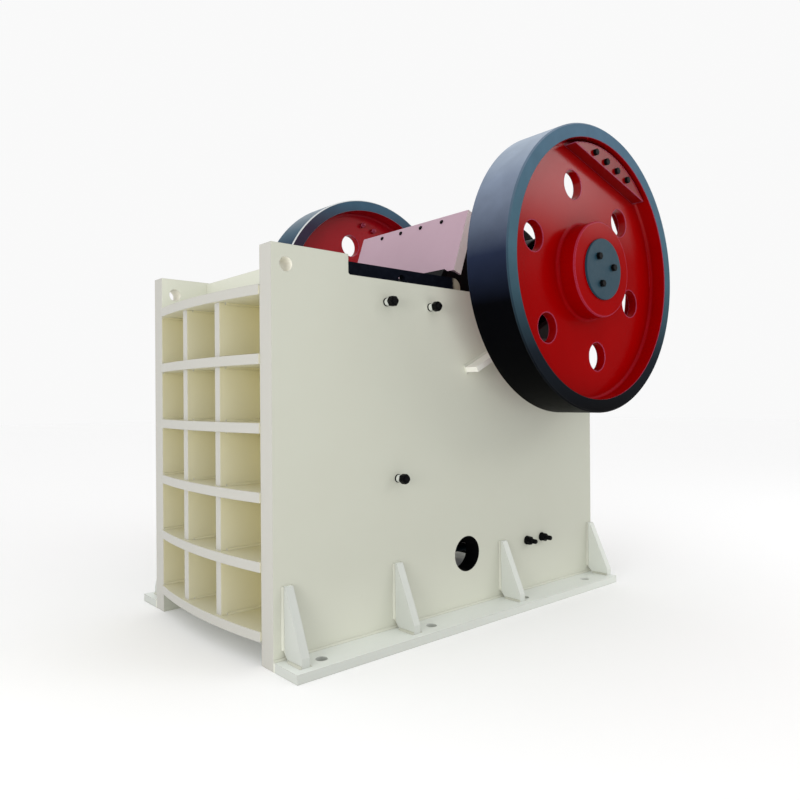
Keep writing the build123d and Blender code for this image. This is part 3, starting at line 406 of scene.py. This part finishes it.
def red_paint(name, shade, shine):
    """Red, whose gloss has lasted on the upper part, with paler edges as a painted glint and darker corners as
    painted shade.
    """
    paint = Paint(name, 0.20)
    rounded = paint.rounded(12 * MM)
    gloss = paint.add("ShaderNodeMapRange", interpolation_type="SMOOTHSTEP",
                      **{"From Min": SHAFT.z + GLOSS_FROM, "From Max": SHAFT.z + GLOSS_FULL,
                         "To Min": GLOSS_LOW, "To Max": shine})
    paint.link(paint.parts("Object")[2], gloss.inputs["Value"])
    paint.link(gloss.outputs["Result"], paint.shader.inputs["Specular IOR Level"])
    mottle = paint.ramp(paint.noise(scale=5.0, detail=3.0), none=0.35, full=0.70)
    # Darker in corners and recesses: painted shade
    corner_shade = paint.ramp(paint.corners(0.06), none=0.75, full=0.30)
    base = paint.mix(paint.product(mottle, 0.20), shade, RED_DARK)
    base = paint.mix(paint.product(corner_shade, 0.60), base, RED_CORNER_SHADE)
    # Paler edges: painted glint
    base = paint.mix(paint.product(paint.edges(rounded), 0.85), base, RED_EDGE_GLINT)
    paint.colour(base)
    paint.rough(paint.noise(scale=26.0), low=0.16, high=0.24)
    paint.bump(paint.noise(scale=240.0, detail=2.0), rounded, strength=0.03)
    return paint.material


def rim_paint(name, radius, face_stops, tread_stops, highlight_share):
    """Slate-black rim, paler towards the top and where it faces up, as painted light."""
    paint = Paint(name, 0.45, specular=0.02)
    rounded = paint.rounded(6 * MM)
    # Paler towards the top and on faces that face up: painted light
    height = paint.ramp(paint.parts("Object")[2], SHAFT.z - radius, SHAFT.z + radius)
    across, _, upward = paint.parts("Normal")
    on_face = paint.ramp(paint.math("ABSOLUTE", across), none=0.60, full=0.80)
    tread = paint.gradient(paint.ramp(upward, none=-1.0, full=1.0), tread_stops)
    base = paint.mix(on_face, tread, paint.gradient(height, face_stops))
    mottle = paint.ramp(paint.noise(scale=9.0), none=0.30, full=0.75)
    base = paint.mix(paint.product(mottle, 0.15), base, BOLT_BLACK)
    # Paler edges: painted highlight
    base = paint.mix(paint.product(paint.edges(rounded), highlight_share), base, WHITE_EDGE_HIGHLIGHT)
    paint.colour(base)
    paint.rough(paint.noise(scale=30.0), low=0.38, high=0.56)
    paint.bump(paint.noise(scale=200.0, detail=2.0), rounded, strength=0.08)
    return paint.material


def plain_paint(name, base, worn, roughness, speckle=40.0, strength=0.15, specular=0.5, wear=0.5):
    """Paint or metal with mottling and brighter edges."""
    paint = Paint(name, roughness, specular=specular)
    rounded = paint.rounded(3 * MM)
    mottle = paint.ramp(paint.noise(scale=speckle * 0.2), none=0.35, full=0.75)
    colour = paint.mix(paint.product(mottle, 0.7 * wear), base, worn)
    paint.colour(paint.mix(paint.product(paint.edges(rounded), wear), colour, worn))
    paint.rough(paint.noise(speckle), low=roughness - 0.10, high=roughness + 0.12)
    paint.bump(paint.noise(scale=speckle * 6.0, detail=3.0), rounded, strength=strength)
    return paint.material


def cheek_steel():
    """Near-black liner steel whose rear end is dusty."""
    paint = Paint("cheek_steel", 0.75, specular=0.06)
    ragged = paint.math("ADD", paint.parts("Object")[1], paint.product(paint.noise(scale=16.0), 0.06))
    dusty = paint.ramp(ragged, CHEEK_DUST_FROM, CHEEK_DUST_FROM + CHEEK_DUST_RUN)
    mottle = paint.ramp(paint.noise(scale=30.0), none=0.40, full=0.80)
    base = paint.mix(paint.product(mottle, 0.35), LINER, CHEEK_WORN)
    paint.colour(paint.mix(dusty, base, CREAM_DUST))
    paint.bump(paint.noise(scale=140.0), paint.rounded(4 * MM), strength=0.45, depth=2 * GRAIN)
    return paint.material


def guard_paint():
    """Red paint washed to pink; the side flanges are paler as painted light."""
    paint = Paint("washed_red_paint", 0.45, specular=0.35)
    rounded = paint.rounded(3 * MM)
    side = paint.ramp(paint.math("ABSOLUTE", paint.parts("Normal")[0]), none=0.5, full=0.9)
    mottle = paint.ramp(paint.noise(scale=2.5, detail=3.0), none=0.35, full=0.75)
    base = paint.mix(paint.product(mottle, 0.25), PINK, PINK_DARK)
    # Paler side flanges: painted light
    base = paint.mix(side, base, PINK_SIDE_LIT)
    paint.colour(paint.mix(paint.product(paint.edges(rounded), 0.5), base, PINK_PALE))
    paint.rough(paint.noise(scale=20.0), low=0.38, high=0.55)
    paint.bump(paint.noise(scale=180.0, detail=2.0), rounded, strength=0.05)
    return paint.material


def jaw_paint():
    """Red casting, painted black as shade on its ends, its front and low down."""
    paint = Paint("jaw_red_paint", 0.50, specular=0.12)
    rounded = paint.rounded(3 * MM)
    _, y, z = paint.parts("Object")
    # Black on the ends, towards the front and low down: painted shade
    ends = paint.ramp(paint.math("ABSOLUTE", paint.parts("Normal")[0]), none=0.6, full=0.8)
    ragged = paint.math("ADD", y, paint.product(paint.noise(scale=6.0), 0.20))
    front = paint.ramp(ragged, SHAFT.y + JAW_SHADE_RUN, SHAFT.y)
    low = paint.ramp(z, JAW_SHADE_FROM, JAW_SHADE_FULL)
    jaw_shade = paint.math("MAXIMUM", ends, paint.math("MAXIMUM", front, low))
    base = paint.mix(jaw_shade, JAW_RED, JAW_SHADE_BLACK)
    paint.colour(paint.mix(paint.product(paint.edges(rounded), 0.10), base, RED_DARK))
    paint.rough(paint.noise(scale=30.0), low=0.42, high=0.62)
    paint.bump(paint.noise(scale=180.0, detail=3.0), rounded, strength=0.15)
    return paint.material


def bare_metal(name, base, roughness):
    """Machined or cast metal."""
    paint = Paint(name, roughness, metallic=1.0)
    mottle = paint.ramp(paint.noise(scale=9.0), none=0.30, full=0.75)
    darker = tuple(0.55 * part for part in base)
    paint.colour(paint.mix(paint.product(mottle, 0.5), base, darker))
    paint.rough(paint.noise(scale=60.0), low=roughness - 0.10, high=roughness + 0.15)
    paint.bump(paint.noise(scale=300.0, detail=3.0), paint.rounded(2 * MM), strength=0.12)
    return paint.material


cream = frame_paint("cream_paint", CREAM, CREAM, front=CREAM_FRONT_SHADE)
# Gussets and base flanges: paler towards the rear and where they face up, as painted light
cream_lit_rear_and_top = frame_paint("pale_cream_paint", CREAM_PALE, CREAM_TOP_LIT, rear=CREAM_REAR_LIT)
# Bearing seat: paler, as painted light
lit_seat_cream = frame_paint("lit_seat_paint", CREAM_SEAT_LIT, CREAM_SEAT_LIT)
# Lifting holes' walls: pale, as painted light
lit_bore_cream = plain_paint("lit_bore_paint", BORE_LIT, CREAM_SEAT_LIT, 0.45, wear=0.2)
red = red_paint("red_paint", RED, NEAR_SHINE)
# Counterweight: a darker copy of the red, as painted shade
shaded_red = red_paint("deep_red_paint", RED_DARK, NEAR_SHINE)
# Far wheel: a brighter copy of the red, as painted light
far_red_lit = red_paint("far_red_paint", RED_FAR_LIT, FAR_SHINE)
# Rims: paler towards the top, as painted light
near_rim = rim_paint("near_rim_paint", NEAR_R, NEAR_FACE_SHADING, NEAR_TREAD_SHADING, highlight_share=0.05)
far_rim = rim_paint("far_rim_paint", FAR_R, FAR_FACE_SHADING, FAR_TREAD_SHADING, highlight_share=0.40)
jaw_red = jaw_paint()
pink = guard_paint()
liner = plain_paint("manganese_steel", LINER, LINER_WORN, 0.6, speckle=60.0, strength=0.5, specular=0.12)
cheek = cheek_steel()
slate = plain_paint("slate_paint", CAP_SLATE, SLATE_WORN, 0.45, specular=0.15)
black = plain_paint("black_bolts", BOLT_BLACK, BOLT_WORN, 0.45, speckle=80.0, specular=0.06)
steel = bare_metal("machined_steel", STEEL, 0.32)
iron = bare_metal("cast_iron_grey", IRON, 0.55)
# Chamfer line: painted highlight
rim_highlight = plain_paint("rim_line_paint", WHITE_EDGE_HIGHLIGHT, CREAM_EDGE_HIGHLIGHT, 0.40)

SLOT_MATERIALS = {
    "frame_paint": cream, "wheel_paint": red, "jaw_paint": jaw_red, "guard_paint": pink,
    "liner_steel": liner, "dark_steel": slate, "bare_steel": steel, "toggle_iron": iron,
}
OWN_MATERIALS = {
    "cheek_plate": cheek, "swing_jaw_wedge": black, "bearing_housing": black, "bearing_cap": black,
    "bearing_cover": black, "counterweight": shaded_red, "bearing_seat": lit_seat_cream, "gussets": cream_lit_rear_and_top,
    "base_flange": cream_lit_rear_and_top, "far_wheel": far_red_lit,
}


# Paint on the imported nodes
def dress_nodes():
    """One material a node: its own, or else its slot's."""
    for part in frame["record"]["subparts"]:
        own = [material for share, material in OWN_MATERIALS.items() if share in part["node"]]
        materials = nodes[part["node"]].data.materials
        materials.clear()
        materials.append(own[0] if own else SLOT_MATERIALS[part["material_slot"]])


def repaint(name, material, chosen):
    """Another material on the faces of a node that chosen picks."""
    mesh = nodes[name].data
    mesh.materials.append(material)
    for face in mesh.polygons:
        if chosen(face):
            face.material_index = len(mesh.materials) - 1


def from_shaft(point):
    return math.hypot(point.y - SHAFT.y, point.z - SHAFT.z)


def dress_rim(name, material, rim_inner):
    """The rim's own paint on the faces outside its inner edge."""
    repaint(name, material, lambda face: from_shaft(face.center) > rim_inner + 4 * MM)


def dress_chamfer_highlight(name, radius):
    """A painted highlight on the rim's chamfer towards the frame."""
    repaint(name, rim_highlight,
            lambda face: from_shaft(face.center) > radius - 12 * MM and 0.30 < face.normal.x < 0.95)


def dress_cap_bolts(name):
    """Black bolt heads on an end cap, whose disc is the wide part of the node."""
    points = [point.co for point in nodes[name].data.vertices]
    disc_face = max(abs(point.x) for point in points if from_shaft(point) > 0.8 * CAP_R)
    repaint(name, black, lambda face: max(abs(points[index].x) for index in face.vertices) > disc_face + MM)


def dress_bore(name, hole, material):
    """Its own paint on the wall of a round hole through a side plate."""
    along, z, radius = hole

    def on_wall(face):
        reach = math.hypot(face.center.y - FRONT_Y - along, face.center.z - z)
        return reach < radius + 2 * MM and abs(face.normal.x) < 0.2

    repaint(name, material, on_wall)


dress_nodes()
for plate in ("right_side_plate", "left_side_plate"):
    # The access holes' walls are black: painted shade
    dress_bore(plate, ACCESS_HOLE, black)
    # The lifting holes' walls are pale: painted light
    dress_bore(plate, LIFTING_HOLE, lit_bore_cream)
dress_rim("near_flywheel", near_rim, NEAR_RIM_IN)
dress_rim("far_wheel", far_rim, FAR_RIM_IN)
# Painted highlight on the far rim's chamfer
dress_chamfer_highlight("far_wheel", FAR_R)
dress_cap_bolts("near_end_cap")
dress_cap_bolts("far_end_cap")


# Small fittings, gathered into joined meshes
SHARP_ANGLE = math.radians(32)
ROUND_SIDES = 24
SMALL_SIDES = 16
CHAMFER_SLOPE = math.tan(math.radians(30))
CROWN_SHARE = 0.95                         # flat top of a nut, of its width across flats
THREAD_PITCH = 0.005
THREAD_ROOT = 0.88                         # share of the thread's radius


class Lot:
    """Many small pieces of one material that ride on one body."""

    def __init__(self):
        self.points = []
        self.faces = []

    def tube(self, rings):
        """A closed piece through rings of points, each ring counter-clockwise about the way along."""
        start = len(self.points)
        count = len(rings[0])
        for points in rings:
            self.points.extend(points)
        for level in range(len(rings) - 1):
            low = start + level * count
            for step in range(count):
                following = (step + 1) % count
                self.faces.append((low + step, low + following, low + count + following, low + count + step))
        self.faces.append(tuple(range(start + count - 1, start - 1, -1)))
        last = start + (len(rings) - 1) * count
        self.faces.append(tuple(range(last, last + count)))

    def piece(self, name, material, body, slot):
        mesh = bpy.data.meshes.new(name)
        mesh.from_pydata(self.points, [], self.faces)
        mesh.materials.append(material)
        mesh.shade_smooth()
        mesh.set_sharp_from_angle(angle=SHARP_ANGLE)
        thing = bpy.data.objects.new(name, mesh)
        bpy.context.scene.collection.objects.link(thing)
        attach(thing, body)


def ring(place, axis, height, reach, sides=ROUND_SIDES):
    """Points round an axis; reach gives the radius at an angle."""
    axis = axis.normalized()
    helper = Z if abs(axis.z) < 0.9 else Y
    first = helper.cross(axis).normalized()
    second = axis.cross(first)
    points = []
    for step in range(sides):
        angle = 2 * math.pi * step / sides
        outward = first * math.cos(angle) + second * math.sin(angle)
        points.append(place + axis * height + outward * reach(angle))
    return points


def turned(lot, place, axis, profile, sides=ROUND_SIDES):
    """A round piece from (height, radius) pairs."""
    lot.tube([ring(place, axis, height, lambda angle, radius=radius: radius, sides)
              for height, radius in profile])


def hexagon(lot, place, axis, flats, height, twist):
    """A hexagonal nut or head with its corners chamfered on top."""
    wedge = math.pi / 3

    def outline(angle):
        return flats / 2 / math.cos((angle + twist) % wedge - wedge / 2)

    axis = axis.normalized()
    shoulder = ring(place, axis, height, outline)
    for step in range(ROUND_SIDES):
        drop = (outline(2 * math.pi * step / ROUND_SIDES) - flats / 2) * CHAMFER_SLOPE
        shoulder[step] = shoulder[step] - axis * drop
    crown = ring(place, axis, height, lambda angle: CROWN_SHARE * flats / 2)
    lot.tube([ring(place, axis, 0.0, outline), shoulder, crown])


def stud_end(lot, place, axis, radius, start, length):
    """The threaded end of a stud."""
    turns = int(length / THREAD_PITCH)
    end = start + turns * THREAD_PITCH
    profile = [(start - 4 * MM, radius)]
    for turn in range(turns):
        profile.append((start + turn * THREAD_PITCH, THREAD_ROOT * radius))
        profile.append((start + (turn + 0.5) * THREAD_PITCH, radius))
    profile.append((end, THREAD_ROOT * radius))
    profile.append((end + 3 * MM, 0.70 * radius))
    turned(lot, place, axis, profile, SMALL_SIDES)


def washer(lot, place, axis, radius, thick):
    turned(lot, place, axis, [(0.0, radius), (0.7 * thick, radius), (thick, 0.94 * radius)])


def from_front(x, along, z):
    """A point by its distance behind the side plates' front edge."""
    return Vector((x, FRONT_Y + along, z))


# Through bolts of the cheek plates and the toggle block: distance behind the front edge, and height
CHEEK_BOLTS = ((0.700, 1.778), (1.021, 1.777), (0.773, 0.839))
TOGGLE_BOLTS = ((1.865, 0.357), (2.017, 0.360))
CHEEK_SPACER = ((0.004, 0.0195), (0.036, 0.0195), (0.038, 0.0180))
CHEEK_SPACER_TOP = 0.038
CHEEK_NUT_HEIGHT = 0.030
CHEEK_STUD_FROM = CHEEK_SPACER_TOP + CHEEK_NUT_HEIGHT
TOGGLE_WASHER_THICK = 0.006
TOGGLE_NUT_HEIGHT = 0.030
TOGGLE_STUD_FROM = TOGGLE_WASHER_THICK + TOGGLE_NUT_HEIGHT
NUT_TURN = 0.35                            # each nut is turned on from the one before


def side_bolts(nuts, bosses):
    for side in (-1, 1):
        out = side * X
        for index, (along, z) in enumerate(CHEEK_BOLTS):
            place = from_front(side * PLATE_OUT, along, z)
            washer(nuts, place, out, radius=0.0225, thick=0.007)
            turned(bosses, place, out, CHEEK_SPACER)
            hexagon(nuts, place + out * CHEEK_SPACER_TOP, out,
                    flats=0.050, height=CHEEK_NUT_HEIGHT, twist=NUT_TURN * index)
            stud_end(nuts, place, out, radius=0.0160, start=CHEEK_STUD_FROM, length=0.015)
        for index, (along, z) in enumerate(TOGGLE_BOLTS):
            place = from_front(side * PLATE_OUT, along, z)
            washer(nuts, place, out, radius=0.028, thick=TOGGLE_WASHER_THICK)
            hexagon(nuts, place + out * TOGGLE_WASHER_THICK, out,
                    flats=0.048, height=TOGGLE_NUT_HEIGHT, twist=NUT_TURN * index)
            stud_end(nuts, place, out, radius=0.0150, start=TOGGLE_STUD_FROM, length=0.040)


# Bearing bolts: over the housing's feet and the caps, and round the covers
BEARING_BOLT_ALONG = 0.296
BEARING_BOLT_IN = 0.050                    # in from the housing's ends
BEARING_NUT_SEATS = ((0.075, 0.018), (0.292, 0.030))   # height of the nut's seat, length of the stud's end
BEARING_WASHER_THICK = 0.006
BEARING_NUT_HEIGHT = 0.034
COVER_BOLT_COUNT = 8
COVER_BOLT_R = 0.2045


def bearing_bolts(nuts, bosses):
    for side in (-1, 1):
        for x in (HOUSING_LOW.x + BEARING_BOLT_IN, HOUSING_HIGH.x - BEARING_BOLT_IN):
            for way in (-1, 1):
                foot = SEAT_FOOT + SEAT_DIR * (way * BEARING_BOLT_ALONG) + X * (side * x)
                for base, stud in BEARING_NUT_SEATS:
                    place = foot + SEAT_UP * base
                    on_washer = place + SEAT_UP * BEARING_WASHER_THICK
                    washer(bosses, place, SEAT_UP, radius=0.033, thick=BEARING_WASHER_THICK)
                    hexagon(nuts, on_washer, SEAT_UP, flats=0.046, height=BEARING_NUT_HEIGHT, twist=0.2 * way)
                    stud_end(nuts, on_washer, SEAT_UP, radius=0.015, start=BEARING_NUT_HEIGHT, length=stud)
        for step in range(COVER_BOLT_COUNT):
            angle = 2 * math.pi * (step + 0.5) / COVER_BOLT_COUNT
            radial = Y * math.cos(angle) + Z * math.sin(angle)
            place = Vector((side * COVER_OUT, SHAFT.y, SHAFT.z)) + radial * COVER_BOLT_R
            hexagon(nuts, place, side * X, flats=0.024, height=0.013, twist=0.3 * step)


# Counterweight bolts: a row along the weight's chord, with nuts behind the web
WEIGHT_ANGLE = math.radians(74.6)
WEIGHT_BOLT_STEPS = (-0.180, -0.060, 0.060, 0.180)
WEIGHT_BOLT_SHIFT = -0.015
WEIGHT_BOLT_R = 0.678
HUB_PROUD = 0.016                          # hub's outer face ahead of the rim's outer face
WEB_RECESS = 0.102                         # web's outer face behind the rim's outer face
WEB_THICK = 0.058
WEIGHT_THICK = 0.078
WEIGHT_BOLT_FLATS = 0.036
WEIGHT_HEAD_HEIGHT = 0.019
WEIGHT_NUT_HEIGHT = 0.026


def counterweight_bolts(heads, nuts):
    outward = Y * math.cos(WEIGHT_ANGLE) + Z * math.sin(WEIGHT_ANGLE)
    chord = Y * math.sin(WEIGHT_ANGLE) - Z * math.cos(WEIGHT_ANGLE)
    for side, high in ((1, NEAR_HIGH.x), (-1, -FAR_LOW.x)):
        web_face = high - HUB_PROUD - WEB_RECESS
        weight_face = web_face + WEIGHT_THICK
        web_back = web_face - WEB_THICK
        for step in WEIGHT_BOLT_STEPS:
            offset = outward * WEIGHT_BOLT_R + chord * (step + WEIGHT_BOLT_SHIFT)
            line = Vector((0, SHAFT.y, SHAFT.z)) + offset
            behind = line + X * (side * web_back)
            ahead = line + X * (side * weight_face)
            hexagon(heads, ahead, side * X, WEIGHT_BOLT_FLATS, WEIGHT_HEAD_HEIGHT, twist=2.0 * step)
            hexagon(nuts, behind, -side * X, WEIGHT_BOLT_FLATS, WEIGHT_NUT_HEIGHT, twist=5.0 * step)
            stud_end(nuts, behind, -side * X, radius=0.012, start=WEIGHT_NUT_HEIGHT, length=0.020)


# Bolts on the jaw's guard and wedge
GUARD_BOLT_XS = (-0.300, -0.100, 0.100, 0.300)
GUARD_BOLT_Z = 2.409
GUARD_HEAD = ((0.0, 0.014), (0.005, 0.013), (0.009, 0.008), (0.010, 0.003))
WEDGE_BOLT_XS = (-0.400, -0.135, 0.135, 0.400)
WEDGE_WASHER_THICK = 0.005


def front_plane(name):
    """A point and the normal of a node's largest face towards the front."""
    faces = [face for face in nodes[name].data.polygons if face.normal.y < -0.7]
    face = max(faces, key=lambda one: one.area)
    return face.center.copy(), face.normal.copy()


def on_plane(centre, normal, x, z):
    return Vector((x, centre.y - normal.z * (z - centre.z) / normal.y, z))


def jaw_bolts(heads):
    centre, normal = front_plane("jaw_head_guard")
    for x in GUARD_BOLT_XS:
        turned(heads, on_plane(centre, normal, x, GUARD_BOLT_Z), normal, GUARD_HEAD, SMALL_SIDES)
    centre, normal = front_plane("swing_jaw_wedge")
    low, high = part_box("swing_jaw_wedge")
    for x in WEDGE_BOLT_XS:
        place = on_plane(centre, normal, x, (low.z + high.z) / 2)
        washer(heads, place, normal, radius=0.030, thick=WEDGE_WASHER_THICK)
        hexagon(heads, place + normal * WEDGE_WASHER_THICK, normal, flats=0.041, height=0.022, twist=x)


# Weld beads
WELD_STEP = 0.009
WELD_LEG = 0.011
WELD_POINTS = 5                            # across the bead
WELD_RIPPLE = 0.10
GUSSET_STARTS = (0.053, 0.287 * LENGTH, 0.620 * LENGTH, LENGTH - 0.044)
GUSSET_THICK = 0.044
GUSSET_CLIP = 0.045
GUSSET_TOP = 0.388
GUSSET_REACH = 0.158
SEAT_FRONT, SEAT_REAR = -0.851, 0.560      # ends of the bearing seat along its slope
HOUSING_FRONT = -0.362
FRONT_WELD_REACH = 0.285
REAR_WELD_REACH = 0.235
REAR_STIFFENER_REACH = 0.215


def weld(lot, start, end, first, second):
    """A rippled fillet weld along the corner between two faces."""
    run = end - start
    count = max(2, round(run.length / WELD_STEP))
    if first.cross(second).dot(run) < 0:
        first, second = second, first
    rings = []
    for step in range(count + 1):
        place = start + run * (step / count)
        wander = math.sin(23.0 * run.length * step / count + 7.0 * start.x + 11.0 * start.z)
        size = WELD_LEG * (1.0 + WELD_RIPPLE * (-1) ** step + WELD_RIPPLE * wander)
        section = [place - (first + second) * MM]
        for part in range(WELD_POINTS):
            angle = math.pi / 2 * part / (WELD_POINTS - 1)
            reach = size * (0.6 / (math.cos(angle) + math.sin(angle)) + 0.4)
            section.append(place + (first * math.cos(angle) + second * math.sin(angle)) * reach)
        rings.append(section)
    lot.tube(rings)


def side_welds(lot):
    """Beads round the gussets, along the base flanges and along the bearing seats."""
    for side in (-1, 1):
        out = side * X
        face = side * PLATE_OUT
        weld(lot, from_front(face, 0.0, FLANGE_TOP), from_front(face, LENGTH, FLANGE_TOP), out, Z)
        for start in GUSSET_STARTS:
            for along, way in ((start, -Y), (start + GUSSET_THICK, Y)):
                if along > LENGTH - MM:
                    continue
                low = from_front(face, along, FLANGE_TOP + GUSSET_CLIP)
                weld(lot, low, from_front(face, along, GUSSET_TOP), out, way)
                near = from_front(side * (PLATE_OUT + GUSSET_CLIP), along, FLANGE_TOP)
                weld(lot, near, from_front(side * (PLATE_OUT + GUSSET_REACH), along, FLANGE_TOP), Z, way)
        seat = SEAT_FOOT + X * face
        weld(lot, seat + SEAT_DIR * SEAT_FRONT, seat + SEAT_DIR * HOUSING_FRONT, out, SEAT_UP)
        under = seat - SEAT_UP * SEAT_THICK
        weld(lot, under + SEAT_DIR * SEAT_FRONT, under + SEAT_DIR * SEAT_REAR, out, -SEAT_UP)


def grid_welds(lot, wall_y, out, low, high, count, reach, stiffener_reach):
    """Beads in the pockets between ribs, stiffeners and a wall; out is the way the pockets open."""
    pitch = (high - low - RIB_THICK) / (count - 1)
    uprights = ((-PLATE_IN, 0.0), (-STIFFENER_X, STIFFENER_HALF),
                (STIFFENER_X, STIFFENER_HALF), (PLATE_IN, 0.0))
    for row in range(count - 1):
        base = low + row * pitch + RIB_THICK
        roof = low + (row + 1) * pitch
        for (left, left_half), (right, right_half) in zip(uprights[:-1], uprights[1:]):
            x0 = left + left_half
            x1 = right - right_half
            for z, up in ((base, Z), (roof, -Z)):
                weld(lot, Vector((x0, wall_y, z)), Vector((x1, wall_y, z)), out, up)
            for x, way, half in ((x0, X, left_half), (x1, -X, right_half)):
                weld(lot, Vector((x, wall_y, base)), Vector((x, wall_y, roof)), out, way)
                run = stiffener_reach if half else reach
                for z, up in ((base, Z), (roof, -Z)):
                    weld(lot, Vector((x, wall_y, z)), Vector((x, wall_y, z)) + out * run, way, up)


def small_fittings():
    nuts, bosses = Lot(), Lot()
    side_bolts(nuts, bosses)
    bearing_bolts(nuts, bosses)
    nuts.piece("frame_nuts_and_studs", black, "frame", "dark_steel")
    bosses.piece("frame_washers", cream_lit_rear_and_top, "frame", "frame_paint")
    weights, backs = Lot(), Lot()
    counterweight_bolts(weights, backs)
    weights.piece("counterweight_bolts", black, "rotor", "dark_steel")
    backs.piece("counterweight_nuts", red, "rotor", "wheel_paint")
    heads = Lot()
    jaw_bolts(heads)
    heads.piece("guard_and_wedge_bolts", black, "swing_jaw", "dark_steel")
    beads = Lot()
    side_welds(beads)
    beads.piece("side_weld_beads", cream, "frame", "frame_paint")
    front = Lot()
    grid_welds(front, WALL_LOW.y, -Y, RIBS_LOW.z, RIBS_HIGH.z, RIB_COUNT, FRONT_WELD_REACH, FRONT_WELD_REACH)
    front.piece("front_weld_beads", cream, "frame", "frame_paint")
    rear = Lot()
    grid_welds(rear, REAR_RIBS_LOW.y, Y, REAR_RIBS_LOW.z, REAR_RIBS_HIGH.z, REAR_RIB_COUNT,
               REAR_WELD_REACH, REAR_STIFFENER_REACH)
    rear.piece("rear_weld_beads", cream, "frame", "frame_paint")


small_fittings()


# Floor, light and camera
FLOOR_HALF = 40.0
FLOOR_Z = -0.5 * MM
FLOOR_GLOW = 0.05
WORLD_STRENGTH = 0.95
WHITE = (1.0, 1.0, 1.0, 1.0)


def floor():
    mesh = bpy.data.meshes.new("floor")
    corners = [(-FLOOR_HALF, -FLOOR_HALF, 0), (FLOOR_HALF, -FLOOR_HALF, 0),
               (FLOOR_HALF, FLOOR_HALF, 0), (-FLOOR_HALF, FLOOR_HALF, 0)]
    mesh.from_pydata(corners, [], [(0, 1, 2, 3)])
    ground = bpy.data.objects.new("floor", mesh)
    bpy.context.scene.collection.objects.link(ground)
    ground.location.z = FLOOR_Z
    paint = Paint("pale_floor", 0.9, specular=0.1)
    paint.colour(paint.mix(paint.product(paint.noise(scale=0.7), 0.10), FLOOR_PALE, FLOOR_GREY))
    paint.shader.inputs["Emission Color"].default_value = WHITE
    paint.shader.inputs["Emission Strength"].default_value = FLOOR_GLOW
    mesh.materials.append(paint.material)


def soft_light(name, place, aim, size, watts):
    data = bpy.data.lights.new(name, "AREA")
    data.shape = "RECTANGLE"
    data.size, data.size_y = size
    data.energy = watts
    lamp = bpy.data.objects.new(name, data)
    bpy.context.scene.collection.objects.link(lamp)
    lamp.location = place
    lamp.rotation_euler = (Vector(aim) - Vector(place)).to_track_quat("-Z", "Y").to_euler()


def studio():
    world = bpy.data.worlds.new("studio")
    bpy.context.scene.world = world
    world.use_nodes = True
    back = world.node_tree.nodes["Background"]
    back.inputs["Color"].default_value = WHITE
    back.inputs["Strength"].default_value = WORLD_STRENGTH
    soft_light("front", place=(3.0, -6.2, 1.6), aim=(0.0, -0.2, 1.1), size=(2.5, 2.5), watts=120.0)
    soft_light("gloss", place=(6.3, 5.3, 4.5), aim=(1.1, 0.7, 2.4), size=(4.0, 2.3), watts=90.0)
    settings = bpy.context.scene.view_settings
    settings.view_transform = "Standard"
    settings.look = "None"


def photo_camera():
    forward = Vector((-math.sin(CAMERA_YAW) * math.cos(CAMERA_PITCH),
                      math.cos(CAMERA_YAW) * math.cos(CAMERA_PITCH), math.sin(CAMERA_PITCH)))
    level = Vector((math.cos(CAMERA_YAW), math.sin(CAMERA_YAW), 0.0))
    upward = level.cross(forward)
    right = level * math.cos(CAMERA_ROLL) + upward * math.sin(CAMERA_ROLL)
    up = upward * math.cos(CAMERA_ROLL) - level * math.sin(CAMERA_ROLL)
    data = bpy.data.cameras.new("photo_camera")
    data.sensor_width = SENSOR_MM
    data.lens = CAMERA_FOCAL_PX / IMAGE_PX * SENSOR_MM
    camera = bpy.data.objects.new("photo_camera", data)
    bpy.context.scene.collection.objects.link(camera)
    turn = Matrix((right, up, -forward)).transposed()
    camera.matrix_world = Matrix.Translation(CAMERA_PLACE) @ turn.to_4x4()
    bpy.context.scene.camera = camera


floor()
studio()
photo_camera()
